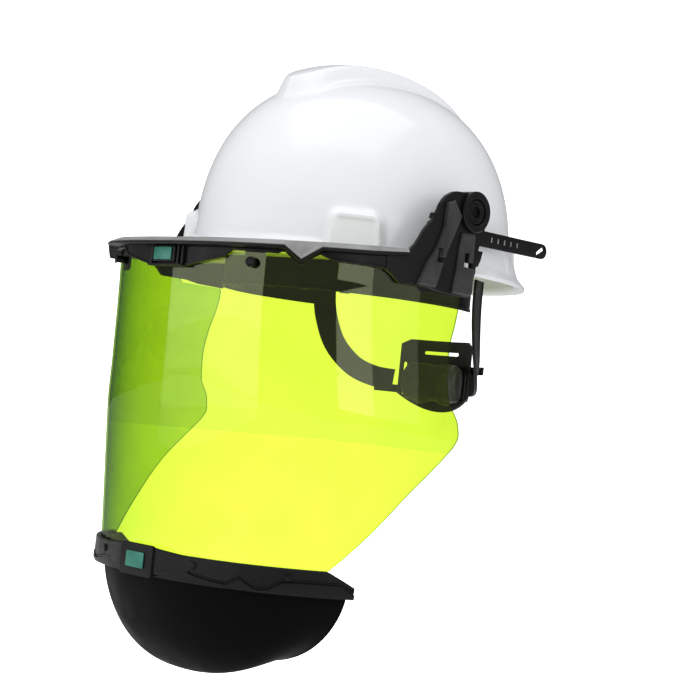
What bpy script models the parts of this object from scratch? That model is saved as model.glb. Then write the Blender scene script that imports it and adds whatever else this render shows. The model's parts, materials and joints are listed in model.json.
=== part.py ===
"""Slotted safety helmet with a raised-crest shell, a ratchet suspension, and a lifting arc visor.

Metres. The wearer faces -Y, the wearer's left is +X and up is +Z. The origin lies on the centre
line of the head opening, level with the lower edge of the shell's side walls.
"""
import bmesh
import bpy
from math import acos, atan2, cos, exp, hypot, log, pi, radians, sin

GAP = 0.0003  # running gap between touching pieces
STEP = 1e-5  # the length of a shoulder in a turned profile

# Shell
DOME_HALF_WIDTH = 0.1068
DOME_HALF_LENGTH = 0.1225
DOME_CENTRE_Y = 0.004
DOME_HEIGHT = 0.1315
DOME_FULLNESS = 0.83  # 1 is an ellipsoid, less is fuller
WALL = 0.0025
CREST_FRONT_Y = -0.0793
CREST_REAR_Y = 0.0937
CREST_HALF_WIDTHS = (0.0191, 0.0398)  # front, rear
CREST_HEIGHTS = (0.0121, 0.0072)
CREST_NOSE = 0.42  # how far its front edge is swept back for each step to the side
CREST_FRONT_LEAN = 1.31  # its front rises this much faster than its sides
CREST_REAR_LEAN = 0.5
CREST_BLEND = 0.004
CREST_FOOT = 0.0088
CREST_FOOT_SHARE = 0.31  # the part of the foot that lies outside the edge line
CREST_FADE_Z = (0.045, 0.085)
RIM_HALF_WIDTH = 0.1175
PEAK_Y = -0.160
RIM_REAR_Y = 0.1445
PEAK_DROP = 0.008
RIM_Z = -0.004
SKIRT_FLARE = 0.009
POCKET = (0.0805, -0.0775)  # centre of the left front key pocket, X and Y
REAR_POCKET = (0.0835, 0.0745)

# Visor and its frame: the plan curve is half a squarish ellipse, with straight sides behind it
VISOR_WIDTHS = (  # height, half width
    (-0.2105, 0.1275), (-0.116, 0.1300), (-0.085, 0.1268), (-0.0235, 0.1228),
)
VISOR_CENTRE_Y = -0.020
VISOR_FRONT_Y = -0.1650  # at the frame
CHIN_FRONT_Y = -0.1610
SQUARE_TOP = 2.60  # the plan curve's exponent at the frame, where 2 is an ellipse
SQUARE_CHIN = 2.23
PLAN_TOP_Z = -0.0235  # the curve is the same all the way above this height, and below the next
PLAN_CHIN_Z = -0.2105
VISOR_THICK = 0.0012
VISOR_BOTTOM_Z = -0.2205
SKIRT_IN = 0.0006  # frame skirt's inner face, outside the visor
SKIRT_OUT = 0.0028
FLANGE_FRONT_REACH = 0.0125
FLANGE_SIDE_REACH = 0.0035
LEDGE_IN = -0.0075
FLANGE_SLOPE = 0.07
FLANGE_LEVEL_Z = 0.0030
NOTCH_X = 0.0915
NOTCH_HALF_WIDTH = 0.0075
NOTCH_DEPTH = 0.0085

# Pivot and side bracket
PEG_X = 0.067
PEG_Z = -0.0185
LATCH_HALF_WIDTH = 0.0112
LATCH_Z = (-0.0212, -0.0105)
PIVOT_Y = -0.011
PIVOT_Z = 0.0352
HUB_RADIUS = 0.014
HUB_IN_X = 0.1195
HUB_OUT_X = 0.1290
TOWER_OUT = 0.0034
RIB_IN_X = 0.1238
RIB_OUT_X = 0.1285
BRACKET_IN_X = 0.1085
BRACKET_OUT_X = 0.1176
BLADE_OUT_X = 0.1121
BLADE_Y = (-0.0355, -0.0195)
BLADE_END_Z = -0.0130
PIN_RADIUS = 0.003
ARM_IN_X = 0.1121
ARM_OUT_X = 0.1145
ARM_Z = 0.0208
ARM_HEIGHT = 0.0108
ARM_END_Y = 0.0855
ARM_START_Y = -0.012

# Chin protector
BAND_TOP_Z = -0.2105
BAND_BOTTOM_Z = -0.2275
BAND_REAR_Y = -0.083
BOWL_DEPTH = 0.0673
BOWL_REAR_Y = -0.0839
BOWL_REAR_SHARE = 0.79  # its depth at the open rear, as a share of the depth in front
BOWL_RAMP = 0.46  # how far forward, as a share of its length, it reaches full depth
BOWL_LIP = -0.0040  # the lip's outer face, from the visor's outer face
BOWL_TAPER = 0.60  # how fast it narrows downwards
BOWL_SAG = 1.38
RIVET_X = (0.050, 0.096)
RIVET_Z = -0.2160
CLIP_HALF_WIDTH = 0.0165
BOWL_WALL = 0.0022

# Suspension
HEAD_HALF_WIDTH = 0.081
HEAD_HALF_LENGTH = 0.100
BAND_CENTRE_Y = 0.006
HEADBAND_TOP_Z = -0.002
HEADBAND_BOTTOM_Z = -0.027
CRADLE_TOP_Z = -0.046
CRADLE_BOTTOM_Z = -0.101
NAPE_HALF_WIDTH = 0.088
NAPE_HALF_LENGTH = 0.108
RACK_RADIUS = 0.0855
RACK_CENTRE_Y = 0.033
RACK_Z = -0.0765
RACK_HEIGHT = 0.006
PINION_RADIUS = 0.0058
STRAP_DEPTH = 0.0132  # a crown strap's ends, inside its pockets
CROWN_HALF_WIDTH = 0.0095
NAPE_STRAP_HALF = 0.0082
NAPE_MEAN_RADIUS = 0.095
KNOB_RADIUS = 0.0165
KNOB_GROOVES = 14
KNOB_GROOVE_OUT = 1.05 * KNOB_RADIUS

COLOURS = {
    "shell": ((0.82, 0.83, 0.84), 0.22, 0.0),
    "frame": ((0.016, 0.016, 0.017), 0.42, 0.0),
    "visor": ((0.42, 0.80, 0.05), 0.06, 0.0),
    "bowl": ((0.012, 0.012, 0.013), 0.55, 0.0),
    "badge": ((0.01, 0.16, 0.11), 0.35, 0.0),
    "band": ((0.020, 0.020, 0.022), 0.50, 0.0),
    "webbing": ((0.030, 0.030, 0.033), 0.85, 0.0),
    "pad": ((0.024, 0.024, 0.026), 0.90, 0.0),
    "metal": ((0.55, 0.55, 0.56), 0.35, 1.0),
}

for old in list(bpy.data.objects):
    bpy.data.objects.remove(old, do_unlink=True)


def material(name):
    found = bpy.data.materials.get(name)
    if found:
        return found
    made = bpy.data.materials.new(name)
    made.use_nodes = True
    shader = made.node_tree.nodes["Principled BSDF"]
    colour, roughness, metallic = COLOURS[name]
    shader.inputs["Base Color"].default_value = (*colour, 1.0)
    shader.inputs["Roughness"].default_value = roughness
    shader.inputs["Metallic"].default_value = metallic
    return made


def add_object(name, look, points, faces, origin=(0, 0, 0)):
    """One mesh object, with its origin moved to a joint's axis and its faces turned outwards."""
    mesh = bpy.data.meshes.new(name)
    mesh.from_pydata([[p[i] - origin[i] for i in range(3)] for p in points], [], faces)
    shape = bmesh.new()
    shape.from_mesh(mesh)
    bmesh.ops.remove_doubles(shape, verts=shape.verts, dist=1e-6)
    bmesh.ops.recalc_face_normals(shape, faces=shape.faces)
    shape.to_mesh(mesh)
    shape.free()
    mesh.shade_smooth()
    mesh.set_sharp_from_angle(angle=radians(35))
    made = bpy.data.objects.new(name, mesh)
    made.location = origin
    bpy.context.collection.objects.link(made)
    if look:
        mesh.materials.append(material(look))
    else:
        made.hide_render = True
        made.display_type = "WIRE"
    return made


def sweep(sections, closed=False):
    """Points and faces of a tube through equal loops of points, capped at both ends."""
    count = len(sections[0])
    points = [p for section in sections for p in section]
    faces = []
    for i in range(len(sections) if closed else len(sections) - 1):
        a, b = i * count, (i + 1) % len(sections) * count
        for j in range(count):
            k = (j + 1) % count
            faces.append((a + j, a + k, b + k, b + j))
    if not closed:
        faces.append(tuple(range(count)))
        faces.append(tuple(range(len(points) - count, len(points))))
    return points, faces


def plate(name, look, outline, axis, low, high, origin=(0, 0, 0)):
    """A flat outline extruded along X, Y or Z between two levels."""
    place = {
        "x": lambda u, v, w: (w, u, v),
        "y": lambda u, v, w: (u, w, v),
        "z": lambda u, v, w: (u, v, w),
    }[axis]
    sections = [[place(u, v, w) for u, v in outline] for w in (low, high)]
    return add_object(name, look, *sweep(sections), origin)


def rounded(u0, v0, u1, v1, radius, steps=3):
    """A rectangle's outline with round corners."""
    outline = []
    corners = ((u1, v0, -90), (u1, v1, 0), (u0, v1, 90), (u0, v0, 180))
    for u, v, start in corners:
        cu = u - radius if u == u1 else u + radius
        cv = v - radius if v == v1 else v + radius
        for i in range(steps + 1):
            a = radians(start + 90 * i / steps)
            outline.append((cu + radius * cos(a), cv + radius * sin(a)))
    return outline


def disc(u, v, radius, count=32):
    turns = [2 * pi * i / count for i in range(count)]
    return [(u + radius * cos(a), v + radius * sin(a)) for a in turns]


def turned(name, look, profile, centre, axis="x", count=32, origin=(0, 0, 0)):
    """A ring turned about a centre: profile holds (distance along the axis, radius) loops."""
    sections = []
    for i in range(count):
        a = 2 * pi * i / count
        loop = []
        for along, radius in profile:
            u, v = radius * cos(a), radius * sin(a)
            if axis == "x":
                loop.append((centre[0] + along, centre[1] + u, centre[2] + v))
            else:
                loop.append((centre[0] + u, centre[1] + along, centre[2] + v))
        sections.append(loop)
    return add_object(name, look, *sweep(sections, closed=True), origin)


def lathe(name, look, profile, count=24):
    """A solid turned about its own Y axis: profile holds (distance along Y, radius) from end to end."""
    turns = [2 * pi * i / count for i in range(count)]
    sections = [[(r * cos(a), along, r * sin(a)) for a in turns] for along, r in profile]
    return add_object(name, look, *sweep(sections))


def cut(target, cutter, operation="DIFFERENCE"):
    step = target.modifiers.new("boolean", "BOOLEAN")
    step.operation = operation
    step.solver = "EXACT"
    step.object = cutter
    cutter.hide_render = True
    cutter.display_type = "WIRE"
    return target


def smooth_step(value, low, high):
    share = min(max((value - low) / (high - low), 0.0), 1.0)
    return share * share * (3 - 2 * share)


# ---------------------------------------------------------------- shell
def dome_point(turn, rise, inset=0.0):
    """A point on the dome: turn goes round from the front, rise from the rim to the top."""
    flat = cos(rise) ** DOME_FULLNESS
    x = (DOME_HALF_WIDTH - inset) * flat * sin(turn)
    y = DOME_CENTRE_Y - (DOME_HALF_LENGTH - inset) * flat * cos(turn)
    z = (DOME_HEIGHT - inset) * sin(rise) ** DOME_FULLNESS
    return x, y, z + crest_rise(x, y) * smooth_step(z, *CREST_FADE_Z)


def crest_rise(x, y):
    """How far the raised crest stands over the dome: it fades towards its sides and both ends."""
    share = min(max((y - CREST_FRONT_Y) / (CREST_REAR_Y - CREST_FRONT_Y), 0.0), 1.0)
    half = mixed(CREST_HALF_WIDTHS, share)
    side = half - abs(x)
    front = CREST_FRONT_LEAN * (y - CREST_FRONT_Y - CREST_NOSE * abs(x))
    rear = CREST_REAR_LEAN * (CREST_REAR_Y - y)
    inside = -CREST_BLEND * log(sum(exp(-gap / CREST_BLEND) for gap in (side, front, rear)))
    return mixed(CREST_HEIGHTS, share) * smooth_step(inside / CREST_FOOT + CREST_FOOT_SHARE, 0, 1)


def mixed(pair, share):
    return pair[0] + share * (pair[1] - pair[0])


def rim_point(turn, share, z):
    """A point between the dome's foot and the rim's edge, which runs out to the peak in front."""
    front = max(cos(turn), 0.0)
    reach_y = (DOME_CENTRE_Y - PEAK_Y) if cos(turn) > 0 else (RIM_REAR_Y - DOME_CENTRE_Y)
    edge = (RIM_HALF_WIDTH * sin(turn), DOME_CENTRE_Y - reach_y * cos(turn))
    foot = (DOME_HALF_WIDTH * sin(turn), DOME_CENTRE_Y - DOME_HALF_LENGTH * cos(turn))
    drop = PEAK_DROP * front**2
    return (
        foot[0] + share * (edge[0] - foot[0]),
        foot[1] + share * (edge[1] - foot[1]),
        z - max(share, 0.0) ** 1.5 * drop,
    )


def build_shell():
    turns = [2 * pi * i / 60 for i in range(60)]
    rises = [radians(a) for a in (85, 77, 69, 60, 51, 42, 33, 24, 16, 8)]
    rows = [[dome_point(t, r) for t in turns] for r in rises]
    flare = SKIRT_FLARE / (RIM_REAR_Y - DOME_CENTRE_Y - DOME_HALF_LENGTH)

    def skirt(share_rear, share_front, z):
        shares = [share_front + (share_rear - share_front) * smooth_step(-cos(t), 0.1, 0.7) for t in turns]
        return [rim_point(t, share, z) for t, share in zip(turns, shares)]

    rows.append(skirt(0.55 * flare, 0.02, 0.011))
    rows.append(skirt(flare, 0.05, 0.004))
    rows.append(skirt(flare + 0.10, 0.30, 0.0012))
    rows.append([rim_point(t, 1.0, RIM_Z) for t in turns])
    rows.append([rim_point(t, 1.0, RIM_Z - 0.0026) for t in turns])
    rows.append(skirt(flare - 0.06, 0.24, RIM_Z - 0.0016))
    rows.append(skirt(flare - 0.16, -0.04, 0.0035))
    rows += [[dome_point(t, r, WALL) for t in turns] for r in reversed(rises[::2])]
    points, faces = sweep(rows)
    shell = add_object("shell", "shell", points, faces)
    for place, spot in (("front", POCKET), ("rear", REAR_POCKET)):
        for side in (-1, 1):
            cut(shell, pocket_boss(f"pocket_{place}_{side}", spot, side), "UNION")
    for side in (-1, 1):
        low, high = sorted((side * (BRACKET_IN_X - 0.0007), side * (BLADE_OUT_X + 0.0007)))
        outline = rounded(low, BLADE_Y[0] - 0.001, high, BLADE_Y[1] + 0.001, 0.001, 1)
        slot = plate(f"slot_cutter_{side}", None, outline, "z", -0.012, 0.013)
        cut(shell, slot)
    return shell


def pocket_boss(name, spot, side):
    """The tapered outer boss over a key pocket, part of the wall's thickness inside it."""
    nx, ny = pocket_normal(spot)
    sections = []
    # (depth along the outward direction, half width, bottom, top)
    for depth, half, low, high in ((-0.0005, 0.0225, 0.0030, 0.0300), (0.0065, 0.0165, 0.0030, 0.0245)):
        loop = []
        for w, z in ((-half, low), (half, low), (half * 0.86, high), (-half * 0.86, high)):
            x = spot[0] + nx * depth - ny * w
            y = spot[1] + ny * depth + nx * w
            loop.append((side * x, y, z))
        sections.append(loop)
    return add_object(name, None, *sweep(sections))


def pocket_normal(spot):
    """The outward direction in plan at a key pocket."""
    outward = atan2((spot[1] - DOME_CENTRE_Y) / DOME_HALF_LENGTH**2, spot[0] / DOME_HALF_WIDTH**2)
    return cos(outward), sin(outward)


# ---------------------------------------------------------------- visor curve
def flowing(value, knots):
    """Smooth interpolation through (position, value) knots, level where they turn."""
    value = min(max(value, knots[0][0]), knots[-1][0])
    i = max(k for k in range(len(knots) - 1) if knots[k][0] <= value)

    def slope(j):
        if j in (0, len(knots) - 1):
            return 0.0
        before = (knots[j][1] - knots[j - 1][1]) / (knots[j][0] - knots[j - 1][0])
        after = (knots[j + 1][1] - knots[j][1]) / (knots[j + 1][0] - knots[j][0])
        return 0.0 if before * after <= 0 else 2 * before * after / (before + after)

    (x0, a), (x1, b) = knots[i], knots[i + 1]
    run = x1 - x0
    t = (value - x0) / run
    return (
        (2 * t**3 - 3 * t**2 + 1) * a + (t**3 - 2 * t**2 + t) * run * slope(i)
        + (3 * t**2 - 2 * t**3) * b + (t**3 - t**2) * run * slope(i + 1)
    )


def plan(z):
    """The plan curve's half width, depth and exponent at a height."""
    share = min(max((PLAN_TOP_Z - z) / (PLAN_TOP_Z - PLAN_CHIN_Z), 0.0), 1.0)
    front = mixed((VISOR_FRONT_Y, CHIN_FRONT_Y), share)
    return flowing(z, VISOR_WIDTHS), VISOR_CENTRE_Y - front, mixed((SQUARE_TOP, SQUARE_CHIN), share)


def plan_point(a, z):
    """A point of the plan curve at an angle from the front, and the direction outwards there."""
    width, depth, power = plan(z)
    across, ahead = max(sin(a), 0.0) ** (2 / power), max(cos(a), 0.0) ** (2 / power)
    nx, ny = across ** (power - 1) / width, -(ahead ** (power - 1)) / depth
    size = hypot(nx, ny)
    return width * across, VISOR_CENTRE_Y - depth * ahead, nx / size, ny / size


def arc_table(steps=600):
    """Rows of arc length, angle, X and Y along half of the top edge's curve, from the front."""
    table, length, last = [], 0.0, None
    for i in range(steps + 1):
        a = pi / 2 * (i / steps) ** 1.5
        x, y, _, _ = plan_point(a, 0)
        if last:
            length += hypot(x - last[0], y - last[1])
        table.append((length, a, x, y))
        last = (x, y)
    return table


ARC = arc_table()


def visor_point(s, z, out=0.0):
    """A point at arc length s from the front centre, at a height, and a distance outside the visor."""
    size = abs(s)
    side = 1 if s >= 0 else -1
    if size >= ARC[-1][0]:
        return side * (plan(z)[0] + out), VISOR_CENTRE_Y + size - ARC[-1][0], z
    a = along(size, [(row[0], row[1]) for row in nearest_rows(size)])
    x, y, nx, ny = plan_point(a, z)
    return side * (x + out * nx), y + out * ny, z


def nearest_rows(size):
    """The two rows of the arc table round an arc length."""
    low, high = 0, len(ARC) - 1
    while high - low > 1:
        middle = (low + high) // 2
        if ARC[middle][0] > size:
            high = middle
        else:
            low = middle
    return ARC[low], ARC[high]


def arc_at_y(y, z=0.0):
    """The arc length at which the visor's curve at a height reaches a Y."""
    if y >= VISOR_CENTRE_Y:
        return ARC[-1][0] + y - VISOR_CENTRE_Y
    _, depth, power = plan(z)
    a = acos(min((VISOR_CENTRE_Y - y) / depth, 1.0) ** (power / 2))
    return along(a, [(row[1], row[0]) for row in ARC])


def arc_at_x(x):
    return along(x, [(row[2], row[0]) for row in ARC])


def along(value, knots):
    """Straight-line interpolation through (position, value) knots."""
    if value <= knots[0][0]:
        return knots[0][1]
    for (a, b), (c, d) in zip(knots, knots[1:]):
        if value <= c:
            return b + (d - b) * (value - a) / (c - a)
    return knots[-1][1]


def build_visor():
    """The clear sheet: waisted rear edges, then slanted down to the narrower chin edge."""
    rear = [  # height, Y of the rear edge
        (-0.2205, -0.109), (-0.212, -0.1005), (-0.186, -0.076), (-0.158, -0.050), (-0.126, -0.0140),
        (-0.117, -0.0083), (-0.108, -0.0098), (-0.093, -0.0190), (-0.073, -0.0215), (-0.056, -0.0195),
        (-0.040, -0.0150), (-0.026, -0.0130), (-0.0235, -0.0140),
    ]
    top_s = [  # share of the row's half length, top edge height
        (0.0, -0.0115), (arc_at_x(0.080), -0.0085), (arc_at_y(-0.087), -0.0060),
        (arc_at_y(-0.080), -0.0100), (arc_at_y(-0.060), -0.0105), (arc_at_y(-0.054), -0.0235),
        (arc_at_y(-0.010), -0.0235),
    ]
    heights = (
        PLAN_TOP_Z, -0.034, -0.048, -0.070, -0.093, -0.108,
        -0.117, -0.126, -0.160, -0.190, -0.208, VISOR_BOTTOM_Z,
    )
    columns = 22
    stations = sorted({i / columns for i in range(-columns, columns + 1)})
    outer, inner = [], []
    half_top = arc_at_y(along(heights[0], rear), heights[0])
    for level, z in [(None, None)] + [(1, z) for z in heights]:
        row_out, row_in = [], []
        for share in stations:
            if level is None:
                s = share * half_top
                height = max(along(abs(s), top_s), heights[0] + 0.0004)
            else:
                s = share * arc_at_y(along(z, rear), z)
                height = z
            row_out.append(visor_point(s, height))
            row_in.append(visor_point(s, height, -VISOR_THICK))
        outer.append(row_out)
        inner.append(row_in)
    rows = [out + list(reversed(back)) for out, back in zip(outer, inner)]
    visor = add_object("visor_sheet", "visor", *sweep(rows))
    for side in (-1, 1):
        cut(visor, bore_at(f"peg_hole_{side}", side * arc_at_x(PEG_X), PEG_Z, 0.0029, 0.010))
        for x in RIVET_X:
            cut(visor, bore_at(f"rivet_hole_{side}_{x}", side * arc_at_x(x), RIVET_Z, 0.0020, 0.010))
    return visor


def bore_at(name, s, z, radius, reach):
    """A cutter through the visor's curve at arc length s, square to it."""
    bore = lathe(name, None, [(-reach, radius), (reach, radius)], 16)
    bore.location = visor_point(s, z)
    bore.rotation_euler[2] = peg_turn(s, z)
    return bore


def peg_turn(s, z):
    """Turn about Z that points +Y outwards from the visor at arc length s."""
    inside, outside = visor_point(s, z, 0), visor_point(s, z, 0.01)
    return atan2(outside[0] - inside[0], -(outside[1] - inside[1]))


# ---------------------------------------------------------------- visor frame
def flange_z(y):
    return FLANGE_LEVEL_Z + FLANGE_SLOPE * (y + 0.036)


def frame_section(s):
    """The frame's cross-section at arc length s: skirt outside the visor, flange above it."""
    x, y, _ = visor_point(s, 0)
    ahead = min(max((-0.020 - y) / 0.15, 0), 1)
    reach = FLANGE_SIDE_REACH + (FLANGE_FRONT_REACH - FLANGE_SIDE_REACH) * ahead**1.5
    notch = NOTCH_DEPTH * max(0.0, 1 - abs(abs(x) - NOTCH_X) / NOTCH_HALF_WIDTH)
    ledge = flange_z(y)
    top = ledge - notch
    skirt = [
        (0.0, -0.0235), (0.016, -0.0235), (0.048, -0.0165), (0.054, -0.0115), (0.081, -0.0115),
        (0.084, -0.0085), (0.0915, -0.0165), (0.099, -0.0095), (0.104, -0.0125), (0.1155, -0.0125),
    ]
    bottom = min(along(abs(x), skirt), top - 0.0035)
    if y > -0.092:
        bottom = along(y, [(-0.092, -0.0125), (-0.080, -0.0135), (-0.073, -0.0205), (-0.05, -0.0205)])
    inner = LEDGE_IN * (0.25 + 0.75 * ahead)
    return [
        visor_point(s, ledge + 0.0010, inner),
        visor_point(s, ledge + 0.0014, SKIRT_IN + 0.0008),
        visor_point(s, top + 0.0014, SKIRT_OUT),
        visor_point(s, top + 0.0004, reach),
        visor_point(s, top - 0.0014, reach),
        visor_point(s, top - 0.0022, SKIRT_OUT),
        visor_point(s, bottom, SKIRT_OUT),
        visor_point(s, bottom, SKIRT_IN),
        visor_point(s, ledge - 0.0012, SKIRT_IN),
        visor_point(s, ledge - 0.0012, inner),
    ]


TOWER_LOW = [  # Y, lower edge
    (-0.084, -0.0130), (-0.078, -0.0165), (-0.073, -0.0205), (-0.046, -0.0205), (-0.034, -0.0222),
    (-0.0095, -0.0228), (-0.0040, -0.0060), (-0.0035, 0.0090), (0.0015, 0.0240),
]
TOWER_HIGH = [  # Y, upper edge
    (-0.084, -0.0020), (-0.072, 0.0000), (-0.064, 0.0055), (-0.056, 0.0180), (-0.048, 0.0280),
    (-0.044, 0.0370), (-0.0385, 0.0430), (-0.030, 0.0465), (-0.011, 0.0475), (0.0015, 0.0420),
]


def build_frame():
    end = arc_at_y(-0.070)
    marks = {end * i / 17 for i in range(18)}
    for x in (0.016, 0.048, 0.054, 0.081, 0.084, NOTCH_X, 0.099, 0.104):
        marks.add(arc_at_x(x))
    marks = sorted(marks)
    stations = [-s for s in reversed(marks) if s > 0] + marks
    frame = add_object("visor_frame", "frame", *sweep([frame_section(s) for s in stations]))
    surround = rounded(-0.0150, -0.0240, 0.0150, -0.0075, 0.0020)
    raised = plate("latch_surround", None, surround, "y", VISOR_FRONT_Y - 0.0048, VISOR_FRONT_Y - 0.0009)
    cut(frame, raised, "UNION")
    for side in (-1, 1):
        parts = frame_side(side)
        for part in parts:
            cut(frame, part, "UNION")
        low, high = sorted((side * (HUB_IN_X - 0.001), side * (HUB_OUT_X + 0.001)))
        bore = disc(PIVOT_Y, PIVOT_Z, PIN_RADIUS + GAP, 24)
        cut(frame, plate(f"frame_bore_{side}", None, bore, "x", low, high))
        low, high = sorted((side * 0.1232, side * (HUB_OUT_X + 0.001)))
        cut(frame, plate(f"frame_recess_{side}", None, disc(PIVOT_Y, PIVOT_Z, 0.0088), "x", low, high))
        low, high = sorted((side * 0.1180, side * 0.1300))
        for name, y in (("front", -0.0455), ("rear", -0.0185)):
            shape = [
                (y, -0.0015), (y + 0.0095, -0.0015), (y + 0.0095, 0.0010), (y + 0.0042, 0.0010),
                (y + 0.0042, 0.0060), (y, 0.0060),
            ]
            cut(frame, plate(f"frame_opening_{name}_{side}", None, shape, "x", low, high))
        cut(frame, bore_at(f"frame_peg_hole_{side}", side * arc_at_x(PEG_X), PEG_Z, 0.0027, 0.012))
    low, high = LATCH_Z
    half = LATCH_HALF_WIDTH + 0.0005
    window = rounded(-half, low - 0.0005, half, high + 0.0005, 0.0015)
    cut(frame, plate("latch_window", None, window, "y", VISOR_FRONT_Y - 0.012, VISOR_FRONT_Y - 0.0003))
    return frame


def frame_side(side):
    """The tower, its two ribs and the hub drum on one side of the frame."""
    sections = []
    for y in sorted({y for y, _ in TOWER_LOW + TOWER_HIGH} | {-0.022, -0.060}):
        s = side * arc_at_y(y)
        low, high = along(y, TOWER_LOW), along(y, TOWER_HIGH)
        sections.append([visor_point(s, z, out) for out, z in
                         ((SKIRT_IN, low), (TOWER_OUT, low), (TOWER_OUT, high), (SKIRT_IN, high))])
    parts = [add_object(f"tower_{side}", None, *sweep(sections))]
    ribs = {
        "front": [(-0.0460, -0.0203), (-0.0330, -0.0220), (-0.0270, 0.0200), (-0.0330, 0.0300)],
        "rear": [(-0.0230, -0.0226), (-0.0095, -0.0226), (-0.0060, 0.0060), (-0.0120, 0.0090), (-0.0180, 0.0060)],
    }
    low, high = sorted((side * RIB_IN_X, side * RIB_OUT_X))
    for name, outline in ribs.items():
        parts.append(plate(f"rib_{name}_{side}", None, outline, "x", low, high))
    low, high = sorted((side * HUB_IN_X, side * HUB_OUT_X))
    parts.append(plate(f"hub_{side}", None, disc(PIVOT_Y, PIVOT_Z, HUB_RADIUS, 40), "x", low, high))
    tab = []
    for i in range(-2, 3):
        s = side * arc_at_x(PEG_X) + 0.0035 * i
        top = flange_z(visor_point(s, 0)[1]) - 0.0004
        corners = ((-0.0042, top), (-0.0018, top), (-0.0018, -0.0255), (-0.0042, -0.0255))
        tab.append([visor_point(s, z, out) for out, z in corners])
    parts.append(add_object(f"peg_tab_{side}", None, *sweep(tab)))
    return parts


def build_pegs():
    """Snap pegs through the visor into the frame's tabs, heads outside."""
    profile = [
        (-0.0024, 0.0028), (-0.0016, 0.0036), (-GAP, 0.0036), (-GAP + STEP, 0.0024), (0.0045, 0.0024),
        (0.0045 + STEP, 0.0034), (0.0054, 0.0028),
    ]
    for side, word in ((1, "left"), (-1, "right")):
        s = side * arc_at_x(PEG_X)
        peg = lathe(f"visor_peg_{word}", "frame", profile, 20)
        peg.location = visor_point(s, PEG_Z)
        peg.rotation_euler[2] = peg_turn(s, PEG_Z)


def build_latch():
    """The press button under the frame's front lip, and the blank badge on it."""
    low, high = LATCH_Z
    origin = (0, VISOR_FRONT_Y - 0.0070, (low + high) / 2)
    outline = rounded(-LATCH_HALF_WIDTH, low, LATCH_HALF_WIDTH, high, 0.0012)
    plate("latch_button", "frame", outline, "y", VISOR_FRONT_Y - 0.0070, VISOR_FRONT_Y - 0.0022, origin)
    outline = rounded(-0.0088, low + 0.0012, 0.0088, high - 0.0012, 0.0008)
    plate("latch_badge", "badge", outline, "y", VISOR_FRONT_Y - 0.0081, VISOR_FRONT_Y - 0.0073, origin)


# ---------------------------------------------------------------- side hardware
def build_side(side, word):
    """The bracket in the shell's slot, the pivot's pin, washer and nut, and the retention arm."""
    low, high = sorted((side * BRACKET_IN_X, side * BRACKET_OUT_X))
    outline = [(-0.0380, 0.0090), (0.0035, 0.0090), (0.0035, 0.0300), (0.0005, 0.0400), (-0.0060, 0.0460),
               (-0.0160, 0.0460), (-0.0220, 0.0400), (-0.0260, 0.0310), (-0.0380, 0.0250)]
    bracket = plate(f"slot_bracket_{word}", "frame", outline, "x", low, high)
    blade_low, blade_high = sorted((side * BRACKET_IN_X, side * BLADE_OUT_X))
    start, end = BLADE_Y
    outline = [
        (start, BLADE_END_Z + 0.002), (start + 0.002, BLADE_END_Z), (end - 0.002, BLADE_END_Z),
        (end, BLADE_END_Z + 0.002), (end, 0.012), (start, 0.012),
    ]
    cut(bracket, plate(f"blade_{word}", None, outline, "x", blade_low, blade_high), "UNION")
    half = ARM_HEIGHT / 2 + GAP
    tunnel = [(-0.045, ARM_Z - half), (0.010, ARM_Z - half), (0.010, ARM_Z + half), (-0.045, ARM_Z + half)]
    tunnel_low, tunnel_high = sorted((side * (ARM_IN_X - GAP), side * (ARM_OUT_X + GAP)))
    cut(bracket, plate(f"tunnel_{word}", None, tunnel, "x", tunnel_low, tunnel_high))
    bore = disc(PIVOT_Y, PIVOT_Z, PIN_RADIUS + GAP, 24)
    cut(bracket, plate(f"bracket_bore_{word}", None, bore, "x", low - 0.002, high + 0.002))

    profile = [
        (0.1058, 0.0050), (0.1064, 0.0055), (0.1082, 0.0055), (0.1082 + STEP, PIN_RADIUS), (0.1230, PIN_RADIUS),
    ]
    pin = lathe(f"pivot_pin_{word}", "metal", profile, 24)
    profile = [(0.1179, 0.0036), (0.1192, 0.0036), (0.1192, 0.0095), (0.1179, 0.0095)]
    washer = turned(f"spring_washer_{word}", "metal", profile, (0, 0, 0), "y", 28)
    nut = lathe(f"pivot_nut_{word}", "frame", [(0.1235, 0.0085), (0.1278, 0.0085), (0.1284, 0.0079)], 32)
    recess = lathe(f"nut_recess_{word}", None, [(0.1262, 0.0036), (0.1300, 0.0036)], 6)
    cut(nut, recess)
    for piece in (pin, washer, nut, recess):
        piece.rotation_euler[2] = -side * pi / 2
        piece.location = (0, PIVOT_Y, PIVOT_Z)

    build_arm(side, word)


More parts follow.
